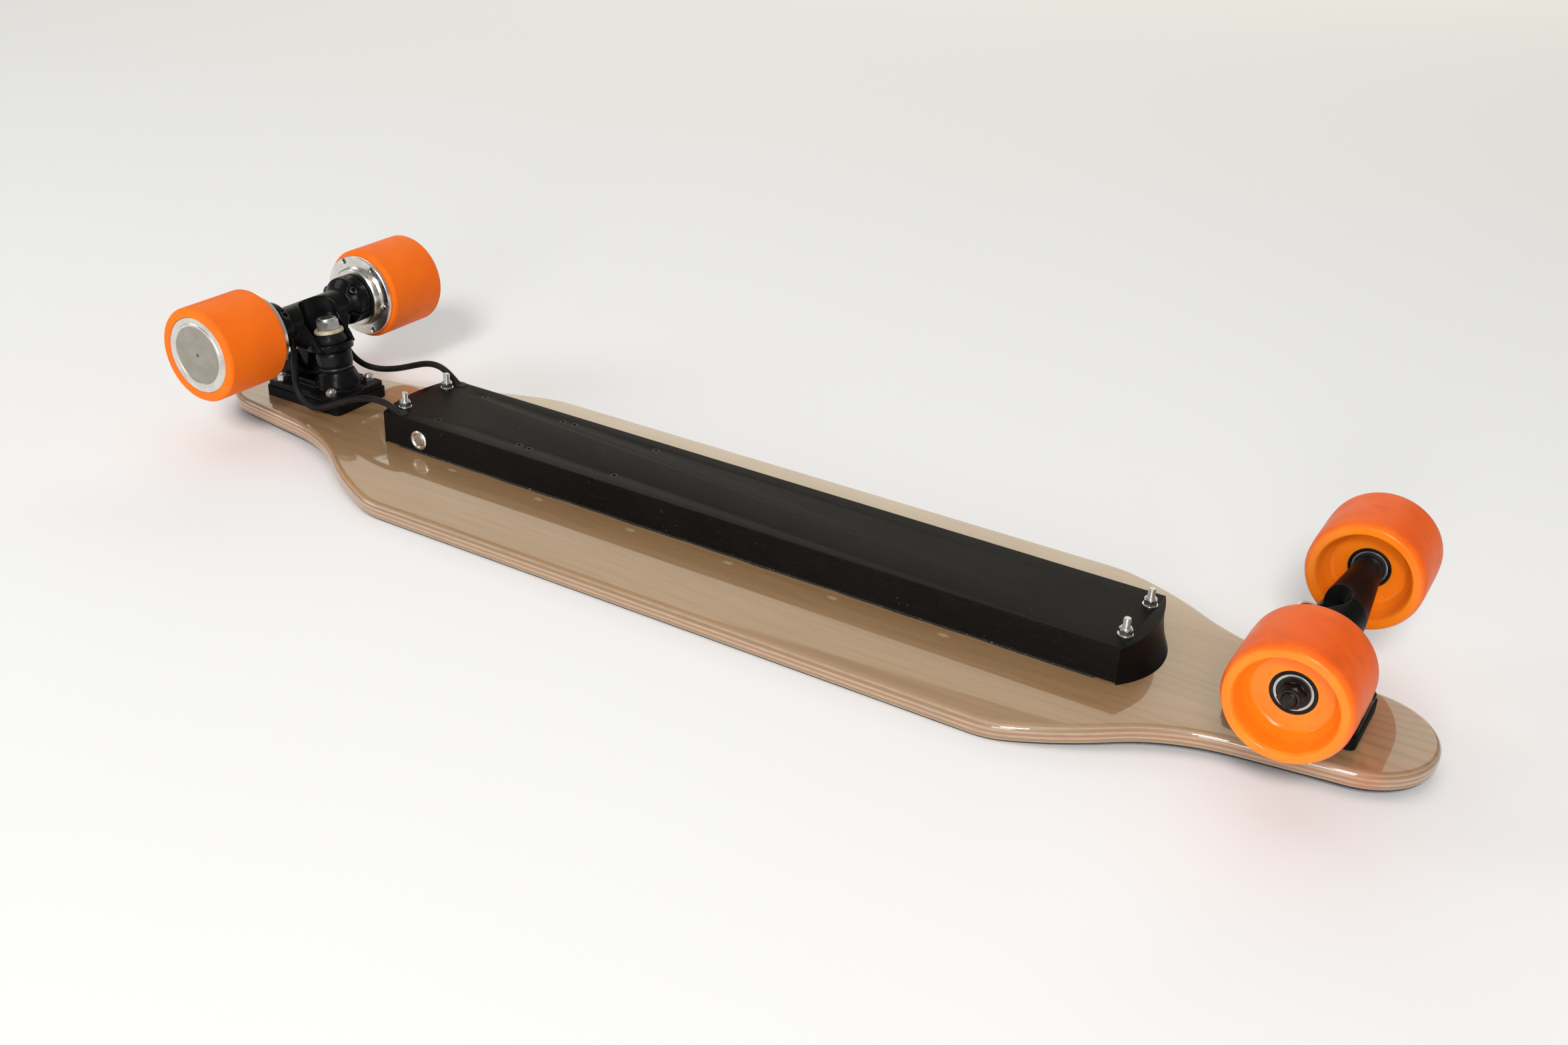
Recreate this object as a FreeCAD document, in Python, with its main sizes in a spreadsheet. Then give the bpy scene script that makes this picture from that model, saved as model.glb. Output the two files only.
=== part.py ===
import FreeCAD, Part
import Sketcher
import math
import os
from FreeCAD import Placement, Rotation, Vector

# Electric skateboard, lying on its grip tape with the wheels up. Millimetres.
# +X points to the board's front, +Z up to the wheels, and the origin is under the deck's centre.
# Heights called "above the deck" are measured from the deck's bare wooden face.

SIZES = {
    # deck
    "deck_half_length": 480.0,
    "deck_half_width": 115.5,
    "deck_face": 17.31,
    "ply_thickness": 11.0,
    "tape_thickness": 1.0,
    "flat_half_width": 45.0,
    "concave_radius": 463.0,
    "shoulder_radius": 60.0,
    "flare_radius": 253.0,
    "neck_radius": 146.0,
    "nose_radius": 47.9,
    "tape_inset": 1.5,
    # enclosure
    "box_half_length": 296.0,
    "box_half_width": 40.0,
    "box_height": 25.5,
    "box_wall": 2.5,
    "gasket_thickness": 1.6,
    "gasket_half_length": 282.0,
    "cap_foot_bulge": 16.0,
    "front_cap_bulge": 8.5,
    "rear_cap_bulge": 7.0,
    "box_bolt_reach": 12.0,
    "front_bolt_place": 292.0,
    "front_bolt_half_gap": 22.0,
    "rear_bolt_place": 289.0,
    "rear_bolt_half_gap": 23.7,
    # battery and electronics
    "cell_radius": 9.1,
    "cell_length": 65.0,
    "cell_pitch": 18.4,
    "first_cell_place": -76.8,
    "spreader_thickness": 6.0,
    "board_thickness": 1.6,
    # push button and charge socket
    "button_place": -261.0,
    "button_height": 11.3,
    "bezel_radius": 7.6,
    "bezel_thickness": 2.0,
    "button_barrel_radius": 5.9,
    "button_radius": 4.6,
    "button_gap": 0.08,
    # metric bolts
    "bolt_radius": 2.5,
    "bolt_clearance": 2.7,
    "bolt_head_radius": 4.7,
    "bolt_head_depth": 2.7,
    "nut_radius": 4.62,
    "nut_height": 3.7,
    "nut_collar_radius": 3.6,
    "nut_collar_height": 1.1,
    "washer_radius": 5.0,
    "washer_thickness": 1.0,
    "tape_hole_radius": 5.2,
    "cover_screw_hole": 1.6,
    # trucks
    "riser_thickness": 8.0,
    "plate_thickness": 5.0,
    "truck_place": 397.3,
    "plate_half_length": 38.6,
    "plate_half_width": 27.2,
    "riser_half_length": 39.5,
    "riser_half_width": 28.0,
    "bolt_half_long": 26.99,
    "bolt_half_wide": 20.64,
    "axle_place": 408.0,
    "axle_height": 67.0,
    "kingpin_radius": 5.0,
    "kingpin_head_radius": 8.4,
    "kingpin_nut_radius": 9.8,
    "kingpin_nut_height": 7.0,
    "kingpin_crown_radius": 7.4,
    "ring_radius": 17.0,
    "bowl_radius": 20.0,
    "bowl_hollow_radius": 15.0,
    "pivot_ball_radius": 7.0,
    "pivot_cup_gap": 0.3,
    "pivot_cup_radius": 10.2,
    # front wheels
    "front_wheel_radius": 36.3,
    "front_inner_face": 55.8,
    "front_outer_face": 112.7,
    "dish_depth": 16.8,
    "bearing_radius": 11.0,
    "bearing_width": 7.0,
    "core_radius": 13.0,
    "front_axle_radius": 4.0,
    "axle_nut_radius": 7.5,
    "axle_nut_height": 5.6,
    "speed_washer_radius": 5.8,
    # hub motors
    "rear_wheel_radius": 36.4,
    "rear_inner_face": 58.3,
    "rear_outer_face": 113.9,
    "can_radius": 29.3,
    "can_bore": 26.0,
    "stator_radius": 25.0,
    "flange_radius": 33.0,
    "flange_face": 54.0,
    "boss_radius": 24.0,
    "boss_face": 48.6,
    "flange_screw_circle": 30.0,
    "flange_screw_radius": 2.05,
    "motor_axle_radius": 8.0,
    "collar_radius": 19.5,
    "collar_inner": 36.0,
    "collar_outer": 48.0,
    "hanger_bar_radius": 12.0,
    # motor cables
    "cable_radius": 2.5,
    "slot_half_length": 7.0,
    "slot_half_width": 3.7,
    "grommet_lip": 0.5,
}

doc = FreeCAD.newDocument("electric_skateboard")
sheet = doc.addObject("Spreadsheet::Sheet", "Sizes")
for row, (alias, number) in enumerate(SIZES.items(), start=1):
    sheet.set(f"A{row}", alias)
    sheet.set(f"B{row}", str(number))
    sheet.setAlias(f"B{row}", alias)
doc.recompute()

subparts = []


# ---- sizes and places ----

def size(text):
    """The value of a sum of sheet names and plain numbers, such as 'deck_face + 3'."""
    total = 0.0
    sign = 1.0
    for word in str(text).split():
        if word in ("+", "-"):
            sign = 1.0 if word == "+" else -1.0
        else:
            total += sign * float(sheet.get(word) if word in SIZES else word)
    return total


def bind(obj, **formulas):
    """Ties properties of an object to sums of the sheet's cells."""
    for name, text in formulas.items():
        words = [f"Sizes.{word}" if word in SIZES else word for word in str(text).split()]
        obj.setExpression(name, " ".join(words))


def aimed(at=(0, 0, 0), axis=(0, 0, 1)):
    """A placement at a point, with the piece's own Z axis turned along the given axis."""
    return Placement(Vector(*at), Rotation(Vector(0, 0, 1), Vector(*axis)))


END = {
    "front": Placement(),
    "rear": Placement(Vector(0, 0, 0), Rotation(Vector(0, 0, 1), 180)),
}
SIDE = {"near": -1, "far": 1}
DECK = size("deck_face")


def keep(obj, label, placement=None):
    """Names a finished sub-part and puts it in its place."""
    obj.Label = label
    if placement is not None:
        obj.Placement = placement.multiply(obj.Placement)
    subparts.append(obj)
    return obj


# ---- primitives and booleans ----

def cylinder(radius, length, at=(0, 0, 0), axis=(0, 0, 1)):
    obj = doc.addObject("Part::Cylinder", "cylinder")
    bind(obj, Radius=radius, Height=length)
    obj.Placement = aimed(at, axis)
    return obj


def cone(low_radius, high_radius, length, at=(0, 0, 0), axis=(0, 0, 1)):
    obj = doc.addObject("Part::Cone", "cone")
    bind(obj, Radius1=low_radius, Radius2=high_radius, Height=length)
    obj.Placement = aimed(at, axis)
    return obj


def ball(radius, at):
    obj = doc.addObject("Part::Sphere", "ball")
    bind(obj, Radius=radius)
    obj.Placement = aimed(at)
    return obj


def box(length, width, height, at):
    obj = doc.addObject("Part::Box", "box")
    bind(obj, Length=length, Width=width, Height=height)
    obj.Placement = aimed(at)
    return obj


def hexagon(radius, height, at, axis=(0, 0, 1)):
    obj = doc.addObject("Part::Prism", "hexagon")
    obj.Polygon = 6
    bind(obj, Circumradius=radius, Height=height)
    obj.Placement = aimed(at, axis)
    return obj


def joined(pieces):
    obj = doc.addObject("Part::MultiFuse", "joined")
    obj.Shapes = pieces
    return obj


def cut(base, tools):
    obj = doc.addObject("Part::Cut", "cut")
    obj.Base = base
    obj.Tool = tools[0] if len(tools) == 1 else joined(tools)
    return obj


def grouped(pieces):
    obj = doc.addObject("Part::Compound", "group")
    obj.Links = pieces
    return obj


# ---- sketches and bodies ----

def sketch_on(body, role, lift=0.0):
    sketch = body.newObject("Sketcher::SketchObject", "sketch")
    support = next(f for f in body.Origin.OriginFeatures if f.Role == role)
    sketch.AttachmentSupport = (support, "")
    sketch.MapMode = "FlatFace"
    sketch.AttachmentOffset = Placement(Vector(0, 0, lift), Rotation())
    return sketch


def polygon(sketch, points):
    """A closed outline whose corners are tied to the sheet."""
    spots = [Vector(size(x), size(y), 0) for x, y in points]
    for index, spot in enumerate(spots):
        sketch.addGeometry(Part.LineSegment(spot, spots[(index + 1) % len(spots)]), False)
    directions = (("DistanceX", -2), ("DistanceY", -1))
    for index, texts in enumerate(points):
        following = (index + 1) % len(points)
        sketch.addConstraint(Sketcher.Constraint("Coincident", index, 2, following, 1))
        for (kind, axis), text in zip(directions, texts):
            if size(text) == 0:
                sketch.addConstraint(Sketcher.Constraint("PointOnObject", index, 1, axis))
                continue
            rule = Sketcher.Constraint(kind, -1, 1, index, 1, size(text))
            number = sketch.addConstraint(rule)
            bind(sketch, **{f"Constraints[{number}]": text})


def rounded(sketch, corners):
    """A closed outline of (x, y, radius) corners, each rounded by a tangent arc."""
    arcs = []
    for index, (x, y, radius) in enumerate(corners):
        corner = Vector(x, y, 0)
        before = Vector(*corners[index - 1][:2], 0) - corner
        after = Vector(*corners[(index + 1) % len(corners)][:2], 0) - corner
        before.normalize()
        after.normalize()
        half = before.getAngle(after) / 2
        reach = radius / math.tan(half)
        middle = (before + after).normalize() * (radius / math.sin(half) - radius)
        arcs.append((corner + before * reach, corner + middle, corner + after * reach))
    for index, (start, middle, end) in enumerate(arcs):
        sketch.addGeometry(Part.Arc(start, middle, end), False)
        following = arcs[(index + 1) % len(arcs)][0]
        if (following - end).Length > 0.05:
            sketch.addGeometry(Part.LineSegment(end, following), False)


def add(body, kind, profile, **settings):
    """Adds a PartDesign feature made from a sketch, and makes it the body's result."""
    feature = body.newObject(f"PartDesign::{kind}", kind.lower())
    feature.Profile = profile
    for name, value in settings.items():
        setattr(feature, name, value)
    body.Tip = feature
    return feature


def turned(points, at=(0, 0, 0), axis=(0, 0, 1)):
    """A body of revolution; its outline is (radius, height) corners about its own Z axis."""
    body = doc.addObject("PartDesign::Body", "turned")
    sketch = sketch_on(body, "XZ_Plane")
    polygon(sketch, points)
    add(body, "Revolution", sketch, ReferenceAxis=(sketch, ["V_Axis"]), Angle=360)
    body.Placement = aimed(at, axis)
    return body


def padded(corners, length, role="XY_Plane", lift=0.0, both_ways=False):
    """A body padded from a rounded outline."""
    body = doc.addObject("PartDesign::Body", "padded")
    sketch = sketch_on(body, role, lift)
    rounded(sketch, corners)
    pad = add(body, "Pad", sketch)
    if both_ways:
        pad.Midplane = True
    bind(pad, Length=length)
    return body


def rectangle(half_x, half_y, radius, centre=(0, 0)):
    x, y = centre
    return [(x + sx * half_x, y + sy * half_y, radius) for sx, sy in ((1, 1), (-1, 1), (-1, -1), (1, -1))]


def fillet(body, radius, wanted):
    """Rounds the edges of a body that the given test picks."""
    doc.recompute()
    base = body.Tip
    names = [f"Edge{i}" for i, edge in enumerate(base.Shape.Edges, start=1) if wanted(edge, base.Shape)]
    feature = body.newObject("PartDesign::Fillet", "fillet")
    feature.Base = (base, names)
    feature.Radius = radius
    body.Tip = feature


def ring_edge(radius, height):
    """A test for the circular edge of a turned body at one radius and height."""
    def wanted(edge, shape):
        curve = edge.Curve
        if not isinstance(curve, Part.Circle):
            return False
        return abs(curve.Radius - radius) < 0.01 and abs(curve.Center.z - height) < 0.01
    return wanted


# ---- deck ----

def deck_outline(inset):
    """The plan of the deck: straight sides, flared shoulders, narrow necks and round ends."""
    quarter = [
        (246.6, size("deck_half_width"), size("shoulder_radius")),
        (286.5, 99.5, size("flare_radius")),
        (342.4, 60.0, size("neck_radius")),
        (size("deck_half_length"), 42.1, size("nose_radius")),
    ]
    corners = []
    for sx, sy in ((1, 1), (1, -1), (-1, -1), (-1, 1)):
        run = quarter if sx == sy else quarter[::-1]
        for x, y, radius in run:
            turn_in = -inset if radius != size("neck_radius") else inset
            shrink = inset * 0.9
            corners.append((sx * (x - (shrink if x > 470 else 0)), sy * (y - shrink), radius + turn_in))
    return corners


def wing_arc(depth, side, reverse):
    """The curved wing of the deck's section, a given depth below its bare face."""
    middle = Vector(side * size("flat_half_width"), DECK - size("concave_radius"), 0)
    radius = size("concave_radius") - depth
    spread = 74.0
    spots = []
    for across in (0.0, spread / 2, spread):
        spots.append(middle + Vector(side * across, math.sqrt(radius ** 2 - across ** 2), 0))
    if reverse:
        spots.reverse()
    return spots


def deck_layer(top_depth, thickness, inset):
    """One curved layer of the deck, trimmed to the deck's plan."""
    body = doc.addObject("PartDesign::Body", "layer")
    section = sketch_on(body, "YZ_Plane")
    low_depth = top_depth + thickness
    chains = [
        wing_arc(top_depth, -1, True),
        wing_arc(top_depth, 1, False),
        wing_arc(low_depth, 1, True),
        wing_arc(low_depth, -1, False),
    ]
    for index, chain in enumerate(chains):
        section.addGeometry(Part.Arc(*chain), False)
        section.addGeometry(Part.LineSegment(chain[-1], chains[(index + 1) % 4][0]), False)
    pad = add(body, "Pad", section, Midplane=True)
    bind(pad, Length="deck_half_length + deck_half_length")
    trim = sketch_on(body, "XY_Plane")
    rounded(trim, rectangle(size("deck_half_length") + 40, size("deck_half_width") + 40, 5))
    rounded(trim, deck_outline(inset))
    add(body, "Pocket", trim, Type="ThroughAll", Midplane=True)
    return body


def perimeter_edge(upper):
    """A test for the rim edges of the deck, upper or lower."""
    def wanted(edge, shape):
        faces = shape.ancestorsOfType(edge, Part.Face)
        flat = []
        for face in faces:
            u, v = face.Surface.parameter(edge.valueAt((edge.FirstParameter + edge.LastParameter) / 2))
            flat.append(face.normalAt(u, v).z)
        walls = [z for z in flat if abs(z) < 0.01]
        if len(walls) != 1 or len(flat) != 2:
            return False
        other = sum(flat) - walls[0]
        return other > 0.5 if upper else other < -0.5
    return wanted


def truck_bolt_places():
    for end in (1, -1):
        for along in (-1, 1):
            for across in (-1, 1):
                x = end * (size("truck_place") + along * size("bolt_half_long"))
                yield x, across * size("bolt_half_wide")


def box_bolt_places():
    for side in (-1, 1):
        yield size("front_bolt_place"), side * size("front_bolt_half_gap")
        yield -size("rear_bolt_place"), side * size("rear_bolt_half_gap")


def deck_bottom():
    return DECK - size("ply_thickness") - size("tape_thickness")


def make_deck():
    blank = deck_layer(0.0, size("ply_thickness"), 0.0)
    fillet(blank, 4.0, perimeter_edge(True))
    fillet(blank, 2.0, perimeter_edge(False))
    holes = []
    bolt_places = list(truck_bolt_places()) + list(box_bolt_places())
    for x, y in bolt_places:
        holes.append(cylinder("bolt_clearance", 40, (x, y, 0)))
        sink = turned([(0, -1), (6.0, -1), (2.6, 3.1), (0, 3.1)], (x, y, deck_bottom()))
        holes.append(sink)
    keep(cut(blank, holes), "deck")
    tape = deck_layer(size("ply_thickness"), size("tape_thickness"), size("tape_inset"))
    rounds = [cylinder("tape_hole_radius", 20, (x, y, 0)) for x, y in bolt_places]
    keep(cut(tape, rounds), "grip_tape")


# ---- fasteners ----

def sunk_bolt(x, y, top):
    """A countersunk bolt standing up from the grip side."""
    low = deck_bottom()
    high = str(top - low)
    head = "bolt_head_radius"
    return turned([(0, 0), (head, 0), ("bolt_radius", "bolt_head_depth"), ("bolt_radius", high + " - 0.6"),
                   ("bolt_radius - 0.5", high), (0, high)], (x, y, low))


def lock_nut(x, y, low):
    """A hexagon lock nut with its round collar up."""
    hexed = hexagon("nut_radius", "nut_height", (x, y, low))
    collar = cylinder("nut_collar_radius", "nut_height + nut_collar_height", (x, y, low))
    hole = cylinder("bolt_radius + 0.05", 12, (x, y, low - 1))
    return cut(joined([hexed, collar]), [hole])


def washer(x, y, low):
    return turned([("bolt_clearance", 0), ("washer_radius", 0), ("washer_radius", "washer_thickness"),
                   ("bolt_clearance", "washer_thickness")], (x, y, low))


def make_fasteners():
    plate_top = DECK + size("riser_thickness + plate_thickness")
    box_top = DECK + size("box_height")
    truck_bolts = [sunk_bolt(x, y, plate_top + 5.6) for x, y in truck_bolt_places()]
    keep(grouped(truck_bolts), "mounting_bolts")
    keep(grouped([lock_nut(x, y, plate_top) for x, y in truck_bolt_places()]), "mounting_nuts")
    reach = size("box_bolt_reach")
    keep(grouped([sunk_bolt(x, y, box_top + reach) for x, y in box_bolt_places()]), "enclosure_bolts")
    keep(grouped([washer(x, y, box_top) for x, y in box_bolt_places()]), "enclosure_washers")
    nut_low = box_top + size("washer_thickness")
    keep(grouped([lock_nut(x, y, nut_low) for x, y in box_bolt_places()]), "enclosure_nuts")


# ---- enclosure ----

COVER_SCREWS = [(x, side * y) for x, y in ((-253, 27), (-176, 26), (-166, 27), (-90, 26)) for side in (-1, 1)]
CABLE_SLOTS = [(-285.2, -34.6), (-286.8, 34.6)]

# Each route runs from the hanger's boss, past the base plate, over the enclosure's end and into its slot.
# Heights are above the deck.
NEAR_CABLE = [
    (-398.8, -29.1, 50.6), (-396.7, -30.9, 38.0), (-396.4, -33.0, 22.0), (-391.8, -34.4, 12.9),
    (-383.5, -35.2, 7.2), (-373.4, -35.4, 6.1), (-359.5, -35.2, 11.4), (-343.8, -34.8, 19.3),
    (-327.0, -34.6, 26.8), (-308.5, -34.6, 30.6), (-291.0, -34.6, 29.2), (-279.8, -34.6, 20.4),
]
FAR_CABLE = [
    (-407.0, 29.5, 51.5), (-408.0, 33.0, 37.5), (-407.0, 36.8, 23.5), (-396.5, 39.8, 14.0),
    (-380.5, 42.3, 12.6), (-363.0, 44.5, 16.4), (-346.0, 45.3, 22.9), (-331.5, 44.0, 28.9),
    (-318.5, 41.4, 32.6), (-305.3, 37.5, 33.8), (-292.5, 34.8, 29.6), (-282.2, 34.6, 20.8),
]


def slot_block(place, spare, low, high):
    """A block with round ends over a cable slot, larger by some spare all round, between two levels."""
    half_width = size("slot_half_width") + spare
    block = padded(rectangle(size("slot_half_length") + spare, half_width, half_width - 0.1, place), high - low)
    block.Placement = aimed((0, 0, low))
    return block


def make_channel():
    width = size("box_half_width")
    wall = size("box_wall")
    top = size("box_height")
    low = size("gasket_thickness")
    outer = [(-width, low, 0.3), (width, low, 0.3), (width, top, 1.2), (-width, top, 1.2)]
    body = doc.addObject("PartDesign::Body", "channel")
    sketch = sketch_on(body, "YZ_Plane")
    rounded(sketch, outer)
    pad = add(body, "Pad", sketch, Midplane=True)
    bind(pad, Length="box_half_length + box_half_length")
    inside = sketch_on(body, "YZ_Plane")
    rounded(inside, rectangle(width - wall, top - wall, 1.5))
    pocket = add(body, "Pocket", inside, Midplane=True)
    bind(pocket, Length="box_half_length + box_half_length + 10")
    body.Placement = aimed((0, 0, DECK))
    roof = DECK + top
    holes = [cylinder("bolt_clearance", 8, (x, y, roof - 5)) for x, y in box_bolt_places()]
    holes += [slot_block(place, 0, roof - 5, roof + 3) for place in CABLE_SLOTS]
    holes += [cylinder("cover_screw_hole", 8, (x, y, roof - 5)) for x, y in COVER_SCREWS]
    holes += [cone("cover_screw_hole", 3.2, 1.6, (x, y, roof - 1.59)) for x, y in COVER_SCREWS]
    height = DECK + size("button_height")
    place = size("button_place")
    holes.append(cylinder("button_barrel_radius + 0.1", 8, (place, -width - 3, height), (0, 1, 0)))
    holes.append(cylinder("button_barrel_radius + 0.1", 8, (place, width - 5, height), (0, 1, 0)))
    keep(cut(body, holes), "enclosure_channel")


def cap_section(body, lift, bulge):
    """One level of an end cap: a straight seam and a bowed end."""
    sketch = sketch_on(body, "XY_Plane", lift)
    seam = size("box_half_length") + 0.05
    half = size("box_half_width")
    low = Vector(seam, -half, 0)
    high = Vector(seam, half, 0)
    sketch.addGeometry(Part.Arc(low, Vector(seam + bulge, 0, 0), high), False)
    sketch.addGeometry(Part.LineSegment(high, low), False)
    return sketch


def make_end_cap(end):
    """A cast cap with a flaring bowed end, a tongue under the channel's roof and two bolt posts."""
    body = doc.addObject("PartDesign::Body", "cap")
    top = size("box_height")
    bulge = size(f"{end}_cap_bulge")
    foot = size("cap_foot_bulge")
    levels = [(0.0, foot), (top * 0.3, bulge + (foot - bulge) * 0.42), (top, bulge)]
    sections = [cap_section(body, lift, bow) for lift, bow in levels]
    add(body, "AdditiveLoft", sections[0], Sections=sections[1:], Ruled=False)
    body.Placement = aimed((0, 0, DECK))
    seam = size("box_half_length")
    tongue_top = top - size("box_wall") - 0.1
    inner = size("box_half_width") - size("box_wall") - 1.3
    tongue = box(14.0, 2 * inner, 3.0, (seam - 12.5, -inner, DECK + tongue_top - 3.0))
    place = size(f"{end}_bolt_place")
    gap = size(f"{end}_bolt_half_gap")
    posts = [cylinder(5.0, tongue_top - 1.0, (place, side * gap, DECK)) for side in (-1, 1)]
    posts += [box(seam + 2 - place, 6.0, tongue_top, (place, side * gap - 3, DECK)) for side in (-1, 1)]
    tools = [cylinder("bolt_clearance", 40, (place, side * gap, DECK - 2)) for side in (-1, 1)]
    if end == "rear":
        notch = size("slot_half_width") + 0.6
        for x, y in CABLE_SLOTS:
            tools.append(box(16, 2 * notch, 16, (278.5, -y - notch, DECK + 10)))
    keep(cut(joined([body, tongue] + posts), tools), f"{end}_end_cap", END[end])


def make_enclosure():
    make_channel()
    make_end_cap("front")
    make_end_cap("rear")
    half = size("gasket_half_length")
    strips = []
    for side in (-1, 1):
        middle = side * (size("box_half_width") - 1.4)
        strips.append(padded(rectangle(half, 2.2, 0.8, (0, middle)), "gasket_thickness"))
    gasket = grouped(strips)
    keep(gasket, "enclosure_gasket", aimed((0, 0, DECK)))
    roof = DECK + size("box_height")
    screws = []
    for x, y in COVER_SCREWS:
        outline = [(0, 0), (1.45, 0), (1.45, 6.4), (3.0, 7.95), (1.3, 7.95), (1.3, 6.6), (0, 6.6)]
        screws.append(turned(outline, (x, y, roof - 8.0)))
    keep(grouped(screws), "cover_screws")
    grommets = []
    lip = size("grommet_lip")
    for place, route in zip(CABLE_SLOTS, (NEAR_CABLE, FAR_CABLE)):
        plug = slot_block(place, -0.05, roof - size("box_wall"), roof + lip)
        flange = slot_block(place, lip, roof, roof + lip)
        passage = doc.addObject("Part::Feature", "passage")
        passage.Shape = tube(route, size("cable_radius") + 0.05)[0]
        grommets.append(cut(joined([plug, flange]), [passage]))
    keep(grouped(grommets), "cable_grommets")


# ---- push button and charge socket ----

def make_button():
    """A push button whose cap slides in from the near side."""
    at = (size("button_place"), -size("box_half_width"), DECK + size("button_height"))
    bore = "button_radius + button_gap"
    barrel = "button_barrel_radius"
    rim = "bezel_radius"
    lip = "bezel_thickness"
    outline = [(bore, -12), (0, -12), (0, -20), (barrel, -20), (barrel, 0), (rim, 0), (rim, "bezel_thickness - 0.7"),
               ("bezel_radius - 1.3", lip), ("button_radius + 1.2", lip), (bore, "bezel_thickness - 0.6")]
    keep(turned(outline, at, (0, -1, 0)), "button_housing")
    stem = [(0, -10), ("button_radius", -10), ("button_radius", 1.2), ("button_radius - 0.5", 1.6), (0, 1.6)]
    keep(turned(stem, at, (0, -1, 0)), "button_cap")
    wall = size("box_wall")
    inside = (at[0], at[1] + wall, at[2])
    nut = hexagon(8.0, 2.2, inside, (0, 1, 0))
    keep(cut(nut, [cylinder("button_barrel_radius + 0.05", 8, (at[0], at[1], at[2]), (0, 1, 0))]), "button_nut")


def make_charge_socket():
    """A round charging socket with a centre pin, on the far side."""
    at = (size("button_place"), size("box_half_width"), DECK + size("button_height"))
    barrel = "button_barrel_radius"
    outline = [(0, -14), (barrel, -14), (barrel, 0), (7.5, 0), (7.5, 1.0), (7.0, 1.6), (3.1, 1.6), (3.1, -9),
               (1.0, -9), (1.0, -0.5), (0.6, 0), (0, 0)]
    keep(turned(outline, at, (0, 1, 0)), "charge_socket")


# ---- battery and electronics ----

def make_battery():
    count = 20
    length = size("cell_length")
    level = DECK + size("cell_radius") + 1.2
    cells = []
    strips = []
    for index in range(count):
        x = size("first_cell_place") + index * size("cell_pitch")
        cells.append(cylinder("cell_radius", "cell_length", (x, -length / 2, level), (0, 1, 0)))
    for index in range(0, count, 2):
        x = size("first_cell_place") + index * size("cell_pitch")
        for side in (-1, 1):
            y = side * (length / 2 + 0.15)
            strips.append(box("cell_pitch + 8", 0.3, 7, (x - 4, y - 0.15, level - 3.5)))
    keep(grouped(cells), "battery_cells")
    keep(grouped(strips), "nickel_strips")
    keep(padded(rectangle(27, 30, 2, (-121, 0)), "board_thickness"), "battery_board", aimed((0, 0, DECK + 1)))


def make_controllers():
    """Two motor controllers hanging from heat spreaders under the channel's roof."""
    roof = DECK + size("box_height") - size("box_wall")
    spreader_low = roof - size("spreader_thickness")
    board_low = spreader_low - 4.0
    spreaders = []
    boards = []
    transistors = []
    capacitors = []
    for number, (low, high) in enumerate(((-257.5, -171.5), (-170.5, -86.5))):
        middle = (low + high) / 2
        blank = padded(rectangle((high - low) / 2, 31, 2, (middle, 0)), "spreader_thickness")
        blank.Placement = aimed((0, 0, spreader_low))
        places = COVER_SCREWS[4 * number:4 * number + 4]
        spreaders.append(cut(blank, [cylinder(1.5, 9, (x, y, spreader_low - 1)) for x, y in places]))
        board = padded(rectangle(36, 24, 1, (middle + 3, 0)), "board_thickness")
        board.Placement = aimed((0, 0, board_low))
        boards.append(board)
        for column in range(6):
            x = middle - 30 + column * 12
            for side in (-1, 1):
                transistors.append(box(9, 10, 2.2, (x, side * 12 - 5, board_low + size("board_thickness"))))
        for column in range(3):
            start = (middle - 24 + column * 20, 0, board_low - 4.1)
            capacitors.append(cylinder(4.0, 16, (start[0], -8, start[2]), (0, 1, 0)))
    keep(grouped(spreaders), "heat_spreaders")
    keep(grouped(boards), "motor_controllers")
    keep(grouped(transistors), "power_transistors")
    keep(grouped(capacitors), "capacitors")
    keep(padded(rectangle(5, 13, 1, (-272, 8)), "board_thickness"), "radio_receiver", aimed((0, 0, DECK + 3)))


# ---- trucks ----

# The kingpin leans outboard; heights along it are measured from its seat on the base plate.
SEAT = Vector(384.0, 0, DECK + 26.0)
LEAN = Vector(7.0, 0, 44.0).normalize()
RING_LOW = 17.0
RING_HIGH = 22.0
RING_CENTRE = SEAT + LEAN * ((RING_LOW + RING_HIGH) / 2)
PIVOT = Vector(421.0, 0, DECK + 22.5)
STEER = (PIVOT - RING_CENTRE).normalize()


def on_kingpin(height):
    return tuple(SEAT + LEAN * height)


def on_pivot(distance):
    return tuple(PIVOT + STEER * distance)


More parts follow.
